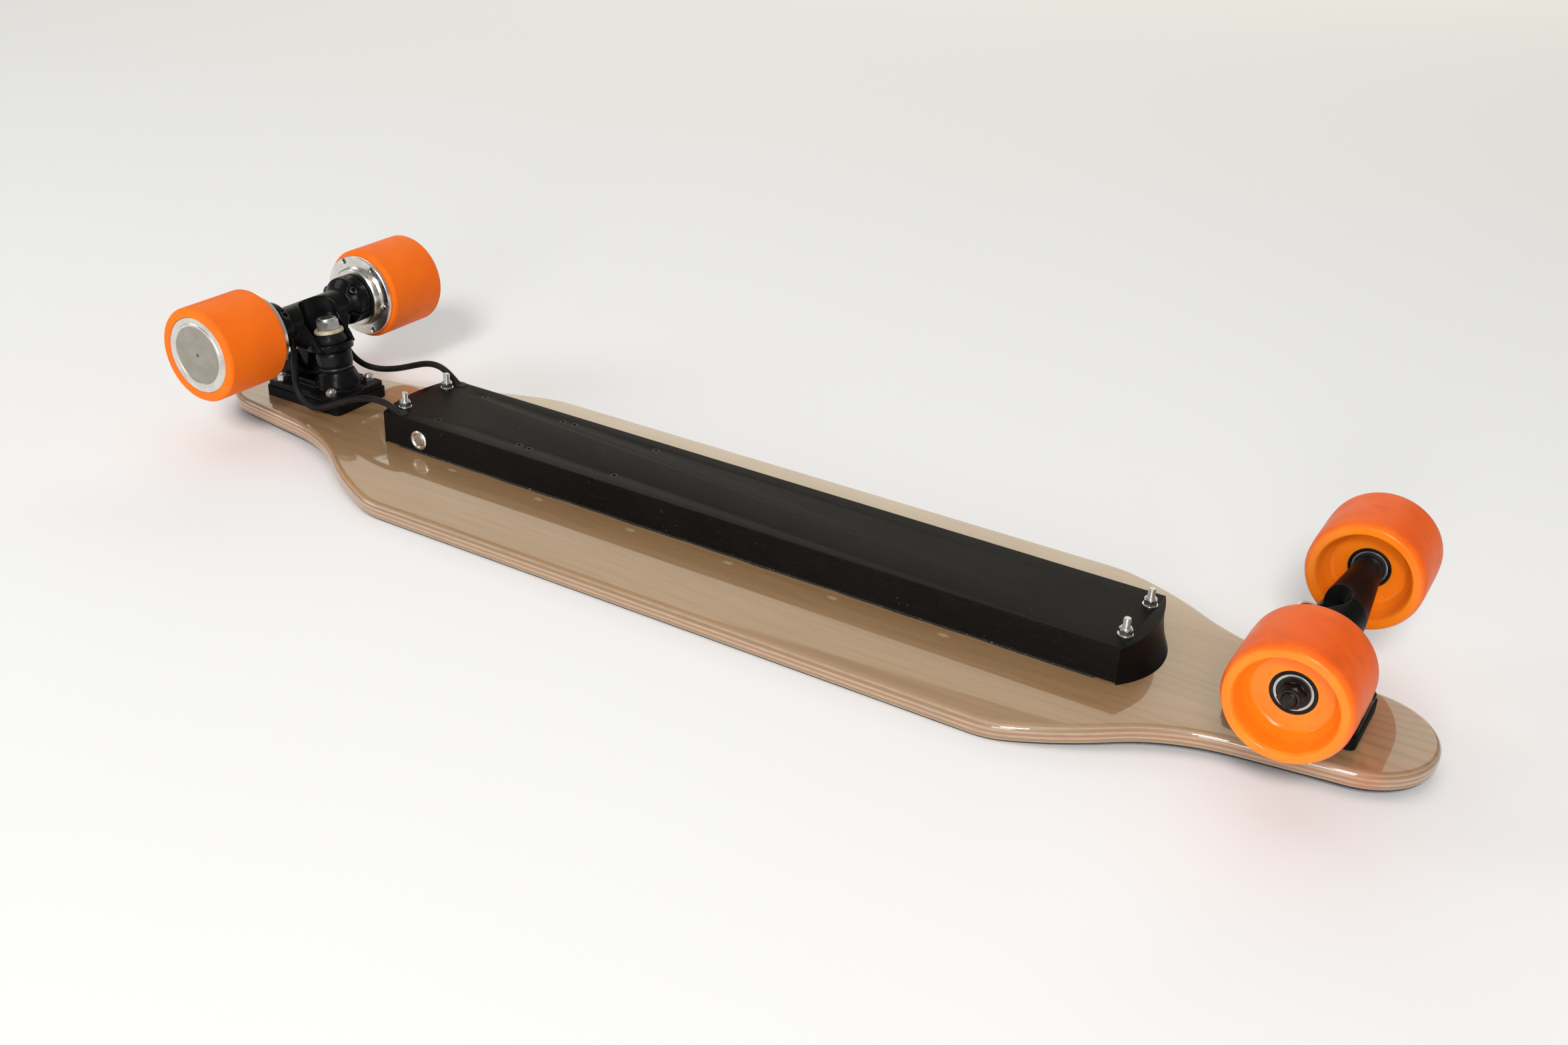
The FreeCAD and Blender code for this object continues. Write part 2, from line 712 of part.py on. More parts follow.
def make_plates(end):
    """The riser pad and the cast base plate with its kingpin seat and pivot housing."""
    centre = (size("truck_place"), 0)
    holes = []
    for along in (-1, 1):
        for across in (-1, 1):
            x = centre[0] + along * size("bolt_half_long")
            y = across * size("bolt_half_wide")
            holes.append((x, y))
    riser_plan = rectangle(size("riser_half_length"), size("riser_half_width"), 5, centre)
    riser = padded(riser_plan, "riser_thickness")
    riser.Placement = aimed((0, 0, DECK))
    riser_holes = [cylinder("bolt_clearance", 20, (x, y, DECK - 2)) for x, y in holes]
    keep(cut(riser, riser_holes), f"{end}_riser", END[end])

    floor = DECK + size("riser_thickness")
    plate = padded(rectangle(size("plate_half_length"), size("plate_half_width"), 6, centre), "plate_thickness")
    plate.Placement = aimed((0, 0, floor))
    seat = turned([(0, -17.5), (18.0, -17.5), (17.6, -12), (16.0, -6), (14.4, -1.5), (13.4, 0), (0, 0)],
                  on_kingpin(0), tuple(LEAN))
    profile = [(404.0, floor + 2, 1), (411.8, floor + 6.2, 2), (425.2, floor + 26.2, 3),
               (434.6, floor + 19.5, 4), (435.6, floor + 2, 1)]
    housing = padded(profile, 24, "XZ_Plane", both_ways=True)
    ribs = [box(30, 3, 9, (390, side * 16 - 1.5, floor + 1)) for side in (-1, 1)]
    solid = joined([plate, seat, housing] + ribs)
    tools = [cylinder("bolt_clearance", 20, (x, y, floor - 2)) for x, y in holes]
    tools += [cylinder(6.0, 30, (x, y, floor + size("plate_thickness"))) for x, y in holes]
    tools.append(cylinder("kingpin_radius + 0.1", 30, on_kingpin(-25), tuple(LEAN)))
    tools.append(cylinder(8.8, 12, on_kingpin(-22.8), tuple(LEAN)))
    tools.append(cylinder("pivot_cup_radius", 20, on_pivot(-12.2), tuple(STEER)))
    tools.append(box(120, 80, 30, (340, -40, floor - 30)))
    keep(cut(solid, tools), f"{end}_baseplate", END[end])


def make_pivot_cup(end):
    """A soft cup that the hanger's pivot turns in."""
    blank = turned([(0, 7.7), ("pivot_cup_radius - 0.05", 7.7), ("pivot_cup_radius - 0.05", -3.1),
                    (11.6, -3.1), (11.6, -4.6), (0, -4.6)], on_pivot(0), tuple(STEER))
    room = ball("pivot_ball_radius + pivot_cup_gap", on_pivot(0))
    mouth = cone(10.0, "pivot_ball_radius + 0.2", 8.0, on_pivot(-8), tuple(STEER))
    keep(cut(blank, [room, mouth]), f"{end}_pivot_cup", END[end])


def make_bushings(end):
    hole = "kingpin_radius + 0.2"
    lower = [(hole, 2.1), (12.0, 2.1), (14.2, 5.5), (14.2, 13.3), (12.8, 16.7), (hole, 16.7)]
    upper = [(hole, 22.3), (12.8, 22.3), (12.6, 26.0), (9.8, 31.4), (hole, 31.4)]
    for name, outline in (("lower", lower), ("upper", upper)):
        keep(turned(outline, on_kingpin(0), tuple(LEAN)), f"{end}_{name}_bushing", END[end])


def at_end(obj, end):
    obj.Placement = END[end].multiply(obj.Placement)
    return obj


def make_kingpins():
    """The kingpins of both trucks, with their cup washers and lock nuts."""
    kingpins = []
    washers = []
    nuts = []
    for end in ("front", "rear"):
        shank = "kingpin_radius"
        head = "kingpin_head_radius"
        bolt = [(0, -15.9), (head, -15.9), (head, -11), (shank, -11), (shank, 42.0), ("kingpin_radius - 0.8", 42.8),
                (0, 42.8)]
        kingpins.append(at_end(turned(bolt, on_kingpin(0), tuple(LEAN)), end))
        hole = "kingpin_radius + 0.15"
        low = [(hole, 0.1), (12.4, 0.1), (13.6, 2.6), (12.9, 2.6), (12.2, 2.0), (hole, 2.0)]
        high = [(hole, 31.5), (9.9, 31.5), (10.4, 30.6), (11.6, 30.6), (11.6, 32.0), (10.8, 33.4), (hole, 33.4)]
        washers += [at_end(turned(plan, on_kingpin(0), tuple(LEAN)), end) for plan in (low, high)]
        hexed = hexagon("kingpin_nut_radius", "kingpin_nut_height", on_kingpin(33.5), tuple(LEAN))
        crown = cylinder("kingpin_crown_radius", "kingpin_nut_height + 1.6", on_kingpin(33.5), tuple(LEAN))
        hole = cylinder("kingpin_radius + 0.05", 12, on_kingpin(32), tuple(LEAN))
        nuts.append(at_end(cut(joined([hexed, crown]), [hole]), end))
    keep(grouped(kingpins), "kingpins")
    keep(grouped(washers), "cup_washers")
    keep(grouped(nuts), "kingpin_nuts")


def hanger_core():
    """The middle of a hanger: ring, gusset to each arm round the kingpin nut, web and pivot nose."""
    ring = cylinder("ring_radius", RING_HIGH - RING_LOW + 1, on_kingpin(RING_LOW), tuple(LEAN))
    bowl = cylinder("bowl_radius", 34.0, on_kingpin(RING_LOW + 1.5), tuple(LEAN))
    slope = Vector(-1.2, 0, 1.0).normalize()
    lid_spot = Vector(389.0, 0, DECK + 57.1)
    lid = doc.addObject("Part::Box", "lid")
    bind(lid, Length=120, Width=90, Height=60)
    tilt = Rotation(Vector(0, 0, 1), slope)
    lid.Placement = Placement(lid_spot + tilt.multVec(Vector(-60, -45, 0)), tilt)
    flares = []
    for side in (-1, 1):
        root = Vector(395.0, 0, DECK + 53.0)
        along = Vector(407.0, side * 30.0, DECK + 66.5) - root
        flares.append(cone("ring_radius", "hanger_bar_radius - 0.5", along.Length, tuple(root), tuple(along)))
    room = cylinder("ring_radius", 22.0, on_kingpin(RING_LOW - 22.0), tuple(LEAN))
    rim = cut(joined([bowl] + flares), [lid, room])
    web_plan = [(404.8, DECK + 24.0, 2), (402.0, DECK + 42.0, 3), (396.0, DECK + 60.0, 5),
                (405.0, DECK + 74.0, 5), (419.0, DECK + 66.0, 6), (417.0, DECK + 42.0, 6)]
    web = padded(web_plan, 22, "XZ_Plane", both_ways=True)
    nose = cone(6.2, 9.0, 16.0, on_pivot(0), tuple(STEER * -1))
    tip = ball("pivot_ball_radius", on_pivot(0))
    return [ring, rim, web, nose, tip]


def hanger_hollows():
    wall = "bowl_hollow_radius"
    plan = [(0, 0), (wall, 0), ("bowl_hollow_radius + 0.5", 6), ("bowl_hollow_radius + 3.5", 20),
            ("bowl_hollow_radius + 4", 40), (0, 40)]
    hollow = turned(plan, on_kingpin(RING_HIGH), tuple(LEAN))
    eye = cylinder(7.4, 20, on_kingpin(RING_LOW - 5), tuple(LEAN))
    return [hollow, eye]


def axle_spot(y):
    return size("axle_place"), y, DECK + size("axle_height")


def make_front_hanger():
    arm_end = size("front_inner_face + dish_depth") - 0.9
    arms = []
    for side in (-1, 1):
        arms.append(cone(15.5, 8.5, arm_end, axle_spot(0), (0, side, 0)))
    tools = hanger_hollows()
    tools.append(cylinder("front_axle_radius", 300, axle_spot(-150), (0, 1, 0)))
    keep(cut(joined(arms + hanger_core()), tools), "front_hanger", END["front"])
    half = size("front_outer_face - dish_depth + 9.5")
    outline = [(0, -half), ("front_axle_radius - 0.6", -half), ("front_axle_radius", str(-half + 0.8)),
               ("front_axle_radius", str(half - 0.8)), ("front_axle_radius - 0.6", half), (0, half)]
    keep(turned(outline, axle_spot(0), (0, 1, 0)), "front_axle", END["front"])


def make_rear_hanger():
    """The hanger with a split clamp collar at each end for a motor's axle, and a boss for each motor's cable."""
    inner = size("collar_inner")
    outer = size("collar_outer")
    bar = cylinder("hanger_bar_radius", 2 * inner + 4, axle_spot(-inner - 2), (0, 1, 0))
    solids = [bar] + hanger_core()
    for route in (NEAR_CABLE, FAR_CABLE):
        exit_face, next_point = (Vector(-x, -y, z + DECK) for x, y, z in route[:2])
        solids.append(cone(3.8, 6.0, 12, tuple(exit_face), tuple(exit_face - next_point)))
    tools = hanger_hollows()
    screws = []
    inboard_up = Vector(-1, 0, 1).normalize()
    outboard = Vector(1, 0, 0.12).normalize()
    screw = [(0, 8.1), (2.5, 8.1), (2.5, 13.5), (3.7, 13.5), (3.7, 17.2), (3.3, 17.6), (1.9, 17.6), (1.9, 15.0),
             (0, 15.0)]
    head = [(0, 8.1), (2.5, 8.1), (2.5, 19.2), (4.2, 19.2), (4.2, 23.6), (3.8, 24.0), (2.2, 24.0), (2.2, 21.2),
            (0, 21.2)]
    for side in (-1, 1):
        blank = [(0, inner - 5), ("hanger_bar_radius", inner - 5), (15.6, inner - 2.8), (18.9, inner - 0.4),
                 ("collar_radius", inner + 0.6), ("collar_radius", outer - 1), ("collar_radius - 1", outer),
                 (0, outer)]
        solids.append(turned(blank, axle_spot(0), (0, side, 0)))
        tools.append(cylinder("motor_axle_radius", 20.1, axle_spot(side * (outer - 20)), (0, side, 0)))
        slit = box(16, 22, 1.5, (0, 0, 0))
        turn = Rotation(Vector(0, 1, 0), 160)
        start = Vector(*axle_spot(side * (outer - 9))) + turn.multVec(Vector(6, -11, -0.75))
        slit.Placement = Placement(start, turn)
        tools.append(slit)
        for across, aim, outline in ((inner + 0.8, inboard_up, screw), (inner + 6, outboard, head)):
            spot = axle_spot(side * across)
            tools.append(cylinder(2.55, 22, spot, tuple(aim)))
            if outline is screw:
                tools.append(cylinder(3.9, 12, tuple(Vector(*spot) + aim * 13.4), tuple(aim)))
            else:
                tools.append(cylinder(4.6, 6, tuple(Vector(*spot) + aim * 19.1), tuple(aim)))
            screws.append(at_end(turned(outline, spot, tuple(aim)), "rear"))
    keep(cut(joined(solids), tools), "rear_hanger", END["rear"])
    keep(grouped(screws), "clamp_screws")


# ---- front wheels ----

def make_front_wheel(name):
    """A dished urethane wheel with its core, bearings and spacer."""
    side = SIDE[name]
    start = size("front_inner_face")
    at = axle_spot(0)
    axis = (0, side, 0)
    inner = "front_inner_face"
    outer = "front_outer_face"
    floor = "front_inner_face + dish_depth"
    roof = "front_outer_face - dish_depth"
    lip = "front_wheel_radius - 2.8"
    bead = "front_wheel_radius"
    tyre = [("core_radius", floor), (22.0, floor), (26.0, "front_inner_face + 11"), (28.6, "front_inner_face + 1"),
            (29.4, inner), (lip, inner), (bead, "front_inner_face + 2.8"), (bead, "front_outer_face - 2.8"),
            (lip, outer), (29.4, outer), (28.6, "front_outer_face - 1"), (26.0, "front_outer_face - 11"),
            (22.0, roof), ("core_radius", roof)]
    wheel = turned(tyre, at, axis)
    doc.recompute()
    length = size(outer) - start
    for radius, height in ((size(bead), 2.8), (size(bead), length - 2.8)):
        fillet(wheel, 7.0, ring_edge(radius, start + height))
    keep(wheel, f"{name}_front_wheel")
    core = [("bearing_radius", floor), ("core_radius", floor), ("core_radius", roof), ("bearing_radius", roof),
            ("bearing_radius", "front_outer_face - dish_depth - bearing_width"),
            (9.5, "front_outer_face - dish_depth - bearing_width"),
            (9.5, "front_inner_face + dish_depth + bearing_width"),
            ("bearing_radius", "front_inner_face + dish_depth + bearing_width")]
    keep(turned(core, at, axis), f"{name}_front_core")
    bearings = []
    for low in (size(floor), size(roof) - size("bearing_width")):
        plan = [("front_axle_radius + 0.05", 0), (6.2, 0), (6.2, 0.5), (9.2, 0.5), (9.2, 0), ("bearing_radius", 0),
                ("bearing_radius", "bearing_width"), (9.2, "bearing_width"), (9.2, "bearing_width - 0.5"),
                (6.2, "bearing_width - 0.5"), (6.2, "bearing_width"), ("front_axle_radius + 0.05", "bearing_width")]
        spot = axle_spot(side * low)
        bearings.append(turned(plan, spot, axis))
    gap = size(roof) - size(floor) - 2 * size("bearing_width")
    spacer = [("front_axle_radius + 0.05", 0), (5.5, 0), (5.5, gap), ("front_axle_radius + 0.05", gap)]
    bearings.append(turned(spacer, axle_spot(side * (size(floor) + size("bearing_width"))), axis))
    keep(grouped(bearings), f"{name}_front_bearings")


def make_axle_hardware():
    nuts = []
    washers = []
    floor = size("front_outer_face - dish_depth")
    inner = size("front_inner_face + dish_depth")
    for side in (-1, 1):
        axis = (0, side, 0)
        hexed = hexagon("axle_nut_radius", "axle_nut_height", axle_spot(side * (floor + 1.1)), axis)
        collar = cylinder("axle_nut_radius - 1.6", "axle_nut_height + 1.6", axle_spot(side * (floor + 1.1)), axis)
        hole = cylinder("front_axle_radius", 12, axle_spot(side * floor), axis)
        nuts.append(cut(joined([hexed, collar]), [hole]))
        for low, thick in ((floor + 0.4, 0.6), (inner - 0.85, 0.45)):
            rim = "speed_washer_radius"
            plan = [("front_axle_radius", 0), (rim, 0), (rim, thick), ("front_axle_radius", thick)]
            washers.append(turned(plan, axle_spot(side * low), axis))
    keep(grouped(nuts), "front_axle_nuts")
    keep(grouped(washers), "front_speed_washers")


# ---- hub motor wheels ----

def make_motor_wheel(name):
    """A hub motor: the stator and its axle are held by the hanger, and the can turns with the tyre."""
    side = SIDE[name]
    axis = (0, side, 0)
    x, y, level = axle_spot(0)
    at = (-x, y, level)
    axle = "motor_axle_radius"
    coil = "stator_radius"
    stator = [(0, 28.4), (axle, 28.4), (axle, 62), (13, 62), (13, 65), (22, 65), (23, 67), (coil, 70), (coil, 98),
              (23, 101), (22, 103), (13, 103), (13, 104.5), (5.95, 104.5), (5.95, 108.5), (0, 108.5)]
    keep(turned(stator, at, axis), f"{name}_motor_stator")

    can = "can_radius"
    bore = "can_bore"
    disc = "rear_outer_face"
    boss = "boss_radius"
    hub = [("motor_axle_radius + 0.08", "boss_face"), ("boss_radius - 1.2", "boss_face"),
           (boss, "boss_face + 1.2"), (boss, "flange_face"),
           ("flange_radius - 0.6", "flange_face"), ("flange_radius", "flange_face + 0.6"),
           ("flange_radius", "rear_inner_face"), (can, "rear_inner_face"), (can, "rear_outer_face - 0.9"),
           ("can_radius - 0.5", "rear_outer_face - 0.4"), (24.6, "rear_outer_face - 0.4"), (24.2, disc),
           (22.6, disc), (22.2, "rear_outer_face - 0.5"), (0, "rear_outer_face - 0.5"),
           (0, 109.2), (6.05, 109.2), (6.05, 105.2), (bore, 105.2), (bore, 60.5), (14.0, 60.5), (14.0, 58.5),
           ("motor_axle_radius + 0.08", 58.5)]
    blank = turned(hub, at, axis)
    screws = []
    holes = []
    head = "flange_screw_radius"
    circle = size("flange_screw_circle")
    face = size("flange_face")
    for index in range(6):
        angle = math.radians(60 * index - 3)
        spot = (at[0] + circle * math.cos(angle), side * face, at[2] + circle * math.sin(angle))
        holes.append(cylinder("flange_screw_radius + 0.05", 1.8, (spot[0], side * (face - 0.1), spot[2]), axis))
        holes.append(cylinder(1.2, 4.4, spot, axis))
        plan = [(0, 0.9), (1.1, 0.9), (1.1, 0.15), (1.6, 0.15), (head, 0.6), (head, 1.7), (1.15, 1.7), (1.15, 4.2),
                (0, 4.2)]
        screws.append(turned(plan, spot, axis))
    keep(cut(blank, holes), f"{name}_motor_hub")
    keep(grouped(screws), f"{name}_flange_screws")
    rim = "rear_wheel_radius"
    tyre = [(can, "rear_inner_face + 0.05"), ("rear_wheel_radius - 1.2", "rear_inner_face + 0.05"),
            (rim, "rear_inner_face + 1.2"), (rim, "rear_outer_face - 1.2"), ("rear_wheel_radius - 1.2", disc),
            (can, disc)]
    keep(turned(tyre, at, axis), f"{name}_rear_tyre")


# ---- motor cables ----

def tube(route, radius):
    """A round tube along straight runs joined by tangent arcs, with the length of its path and its bends."""
    spots = [Vector(x, y, z + DECK) for x, y, z in route]
    edges = []
    last = spots[0]
    bends = []
    for before, corner, after in zip(spots, spots[1:], spots[2:]):
        back = before - corner
        ahead = after - corner
        reach = 0.45 * min(back.Length, ahead.Length)
        back.normalize()
        ahead.normalize()
        half = back.getAngle(ahead) / 2
        bend = reach * math.tan(half)
        bends.append(round(bend, 1))
        start = corner + back * reach
        end = corner + ahead * reach
        bulge = (back + ahead).normalize() * (bend / math.sin(half) - bend)
        edges.append(Part.LineSegment(last, start).toShape())
        edges.append(Part.Arc(start, corner + bulge, end).toShape())
        last = end
    edges.append(Part.LineSegment(last, spots[-1]).toShape())
    path = Part.Wire(edges)
    ring = Part.Wire(Part.makeCircle(radius, spots[0], spots[1] - spots[0]))
    return path.makePipeShell([ring], True, False), path.Length, bends


def make_cable(route, label):
    radius = size("cable_radius")
    cable = doc.addObject("Part::Feature", "cable")
    cable.Shape, length, bends = tube(route, radius)
    share = cable.Shape.Volume / (math.pi * radius ** 2 * length)
    print(label, "length", round(length, 1), "radii", bends, "volume over section times length", round(share, 3))
    keep(cable, label)


# ---- the whole board ----

def build_all():
    make_deck()
    make_fasteners()
    make_enclosure()
    make_button()
    make_charge_socket()
    make_battery()
    make_controllers()
    for end in ("front", "rear"):
        make_plates(end)
        make_pivot_cup(end)
        make_bushings(end)
    make_kingpins()
    make_front_hanger()
    make_rear_hanger()
    for name in ("near", "far"):
        make_front_wheel(name)
        make_motor_wheel(name)
    make_axle_hardware()
    make_cable(NEAR_CABLE, "near_motor_cable")
    make_cable(FAR_CABLE, "far_motor_cable")


def check_and_export():
    doc.recompute()
    for obj in doc.Objects:
        if "Invalid" in obj.State or "Error" in obj.State:
            raise RuntimeError(f"{obj.Label} is {obj.State}")
    os.makedirs("parts", exist_ok=True)
    for obj in subparts:
        shape = obj.Shape
        if shape.isNull() or not shape.isValid() or not shape.Solids:
            raise RuntimeError(f"{obj.Label} has no valid solid")
        shape.exportStep(os.path.join("parts", f"{obj.Label}.step"))
    print(len(subparts), "sub-parts written")


build_all()
check_and_export()
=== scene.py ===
import math
import random
import bmesh
import bpy
from mathutils import Matrix, Vector


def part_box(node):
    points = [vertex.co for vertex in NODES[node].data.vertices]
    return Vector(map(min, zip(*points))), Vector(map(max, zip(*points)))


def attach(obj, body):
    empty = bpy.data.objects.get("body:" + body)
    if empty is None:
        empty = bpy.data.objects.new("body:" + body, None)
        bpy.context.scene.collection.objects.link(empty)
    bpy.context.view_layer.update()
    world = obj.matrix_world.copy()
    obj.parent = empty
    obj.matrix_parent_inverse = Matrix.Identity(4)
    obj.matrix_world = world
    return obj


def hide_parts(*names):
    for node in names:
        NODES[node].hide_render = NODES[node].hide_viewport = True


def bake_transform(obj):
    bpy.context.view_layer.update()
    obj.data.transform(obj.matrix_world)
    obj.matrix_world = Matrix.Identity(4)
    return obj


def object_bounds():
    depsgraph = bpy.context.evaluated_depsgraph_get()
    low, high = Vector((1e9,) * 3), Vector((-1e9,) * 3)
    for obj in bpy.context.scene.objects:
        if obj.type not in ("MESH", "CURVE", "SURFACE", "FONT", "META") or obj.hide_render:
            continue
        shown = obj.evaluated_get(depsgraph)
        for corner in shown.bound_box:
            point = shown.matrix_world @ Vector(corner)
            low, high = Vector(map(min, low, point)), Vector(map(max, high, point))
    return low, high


# Electric skateboard, upside down on a pale floor. Metres; +X is the board's front, +Z up to the wheels.

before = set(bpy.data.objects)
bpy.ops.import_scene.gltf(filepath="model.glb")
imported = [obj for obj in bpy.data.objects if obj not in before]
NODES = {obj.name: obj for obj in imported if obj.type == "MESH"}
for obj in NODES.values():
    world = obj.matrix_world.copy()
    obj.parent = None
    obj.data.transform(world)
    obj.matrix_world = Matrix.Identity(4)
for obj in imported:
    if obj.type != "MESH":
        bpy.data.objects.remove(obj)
cad_low, cad_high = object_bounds()
MM = 0.001
UP = Vector((0, 0, 1))
ZERO = 0.01  # millimetres from a turned piece's own axis
TINY = 0.00001  # the same, for points that are merged into one
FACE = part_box("front_riser")[0].z  # the deck's bare face
BOARD = "board"
REAR = "rear_hanger_body"
FRONT = "front_hanger_body"
random.seed(7)


# ---- camera ----

def make_camera():
    """The photograph's viewpoint, above the board's near front corner."""
    azimuth, elevation, roll = math.radians(29.746), math.radians(27.367), math.radians(2.882)
    place = (0.5348, -0.8727, 0.5354 + FACE)
    back = Vector((math.sin(azimuth) * math.cos(elevation), -math.cos(azimuth) * math.cos(elevation),
                   math.sin(elevation)))
    right = Vector((math.cos(azimuth), math.sin(azimuth), 0))
    up = back.cross(right)
    across = right * math.cos(roll) + up * math.sin(roll)
    upward = up * math.cos(roll) - right * math.sin(roll)
    data = bpy.data.cameras.new("camera")
    data.lens = 37.54
    data.sensor_width = 36.0
    data.clip_start = 0.01
    camera = bpy.data.objects.new("camera", data)
    bpy.context.scene.collection.objects.link(camera)
    camera.matrix_world = Matrix((*zip(across, upward, back, place), (0, 0, 0, 1)))
    bpy.context.scene.camera = camera


make_camera()


# ---- node materials ----

class Shader:
    """A small builder for a node material around one Principled BSDF."""

    def __init__(self, name, **settings):
        self.material = bpy.data.materials.new(name)
        self.material.use_nodes = True
        self.tree = self.material.node_tree
        self.surface = self.tree.nodes["Principled BSDF"]
        for socket, value in settings.items():
            self.set(socket, value)
        self.place = self.tree.nodes.new("ShaderNodeTexCoord").outputs["Object"]
        self.bumps = {}

    def feed(self, target, value):
        """Links a socket, or sets its own value; a colour is given without its alpha."""
        if isinstance(value, bpy.types.NodeSocket):
            self.tree.links.new(value, target)
        elif isinstance(value, tuple) and target.type == "RGBA":
            target.default_value = (*value, 1.0)
        else:
            target.default_value = value

    def set(self, socket, value):
        self.feed(self.surface.inputs[socket.replace("_", " ")], value)

    def node(self, kind, inputs, output=0, **settings):
        """One output of a new node with these inputs and settings."""
        node = self.tree.nodes.new("ShaderNode" + kind)
        for name, value in settings.items():
            setattr(node, name, value)
        for name, value in inputs.items():
            self.feed(node.inputs[name], value)
        return node.outputs[output]

    def scaled(self, x, y, z, turn=(0, 0, 0)):
        return self.node("Mapping", {"Vector": self.place, "Scale": (x, y, z), "Rotation": turn})

    def noise(self, scale, detail=4.0, rough=0.55, warp=0.0, place=None):
        return self.node("TexNoise", {"Vector": place or self.place, "Scale": scale, "Detail": detail,
                                      "Roughness": rough, "Distortion": warp}, "Fac")

    def cells(self, scale, place=None, feature="F1"):
        inputs = {"Vector": place or self.place, "Scale": scale}
        return self.node("TexVoronoi", inputs, "Distance", feature=feature)

    def bands(self, scale, warp, detail, place, direction):
        inputs = {"Vector": place, "Scale": scale, "Distortion": warp, "Detail": detail}
        return self.node("TexWave", inputs, "Fac", bands_direction=direction)

    def ramp(self, fac, *stops):
        """A colour ramp; each stop is (position, grey)."""
        node = self.tree.nodes.new("ShaderNodeValToRGB")
        self.feed(node.inputs["Fac"], fac)
        elements = node.color_ramp.elements
        while len(elements) < len(stops):
            elements.new(0.5)
        for element, (position, value) in zip(elements, stops):
            element.position = position
            element.color = (value, value, value, 1.0)
        return node.outputs["Color"]

    def ease(self, fac, low, high, first, last):
        """From a first grey at low to a last one at high."""
        return self.ramp(fac, (low, first), (high, last))

    def rise(self, fac, low, high):
        return self.ease(fac, low, high, 0.0, 1.0)

    def fall(self, fac, low, high):
        return self.ease(fac, low, high, 1.0, 0.0)

    def mix(self, fac, low, high):
        return self.node("Mix", {0: fac, 6: low, 7: high}, 2, data_type="RGBA")

    def lay(self, base, mask, amount, colour):
        """A colour laid over a base where a mask is, at most by the given amount."""
        return self.mix(self.times(mask, amount), base, colour)

    def cloudy(self, fac, low, high, first, last):
        """From a first colour where a pattern is low to a last one where it is high."""
        return self.mix(self.rise(fac, low, high), first, last)

    def math(self, kind, a, b=0.0):
        return self.node("Math", {0: a, 1: b}, operation=kind)

    def times(self, a, b):
        return self.math("MULTIPLY", a, b)

    def plus(self, a, b):
        return self.math("ADD", a, b)

    def minus(self, a, b):
        return self.math("SUBTRACT", a, b)

    def size(self, a):
        return self.math("ABSOLUTE", a)

    def squares(self, a, b):
        """The sum of two values' squares."""
        return self.plus(self.times(a, a), self.times(b, b))

    def axes(self):
        node = self.tree.nodes.new("ShaderNodeSeparateXYZ")
        self.feed(node.inputs[0], self.place)
        return node.outputs

    def vector(self, x, y, z):
        return self.node("CombineXYZ", {"X": x, "Y": y, "Z": z})

    def bump(self, height, strength, distance, socket="Normal"):
        """A bump on the surface or its coat, on top of the ones before it."""
        inputs = {"Strength": strength, "Distance": distance, "Height": height}
        if socket in self.bumps:
            inputs["Normal"] = self.bumps[socket]
        self.bumps[socket] = self.node("Bump", inputs)
        self.set(socket, self.bumps[socket])

    def around(self, centre):
        """Radius from a cross axle through a centre, angle round it and place along it."""
        x, y, z = self.axes()
        ahead = self.minus(x, centre[0])
        up = self.minus(z, centre[2])
        return self.math("SQRT", self.squares(ahead, up)), self.math("ARCTAN2", up, ahead), y

    def done(self, colour, roughness):
        """The material, with its colour and roughness."""
        self.set("Base Color", colour)
        self.set("Roughness", roughness)
        return self.material


def grey(value):
    return value, value, value


def shaded(colour, factor, added=0.0):
    """A lighter or darker shade of a colour."""
    return tuple(channel * factor + added for channel in colour)


FLAT_HALF = 45 * MM  # the deck is flat this far from its middle line
CONCAVE = 463 * MM  # and curves at this radius beyond it
PLY = 11 * MM
PLY_COUNT = 7


def depth_below_face(s):
    """How deep a point lies under the deck's curved bare face, in metres."""
    _, y, z = s.axes()
    out = s.math("MAXIMUM", s.minus(s.size(y), FLAT_HALF), 0.0)
    rise = s.plus(s.minus(z, FACE), CONCAVE)
    return s.minus(CONCAVE, s.math("SQRT", s.squares(out, rise)))


def pale_dots(s):
    """Small pale lengthwise marks, evenly spaced in a row on both sides of the enclosure."""
    x, y, _ = s.axes()
    pitch, row, first = 81.3 * MM, 48 * MM, -59.9 * MM
    along = s.times(s.minus(x, first), 1 / pitch)
    nearest = s.minus(along, s.math("ROUND", along))
    long = s.times(nearest, pitch / (4.2 * MM))
    wide = s.times(s.minus(s.size(y), row), 1 / (2.1 * MM))
    ragged = s.plus(s.squares(long, wide), s.times(s.noise(420.0, 3.0, 0.6), 0.9))
    return s.times(s.fall(s.times(ragged, 0.5), 0.45, 0.75), s.fall(s.size(x), 0.23, 0.25))


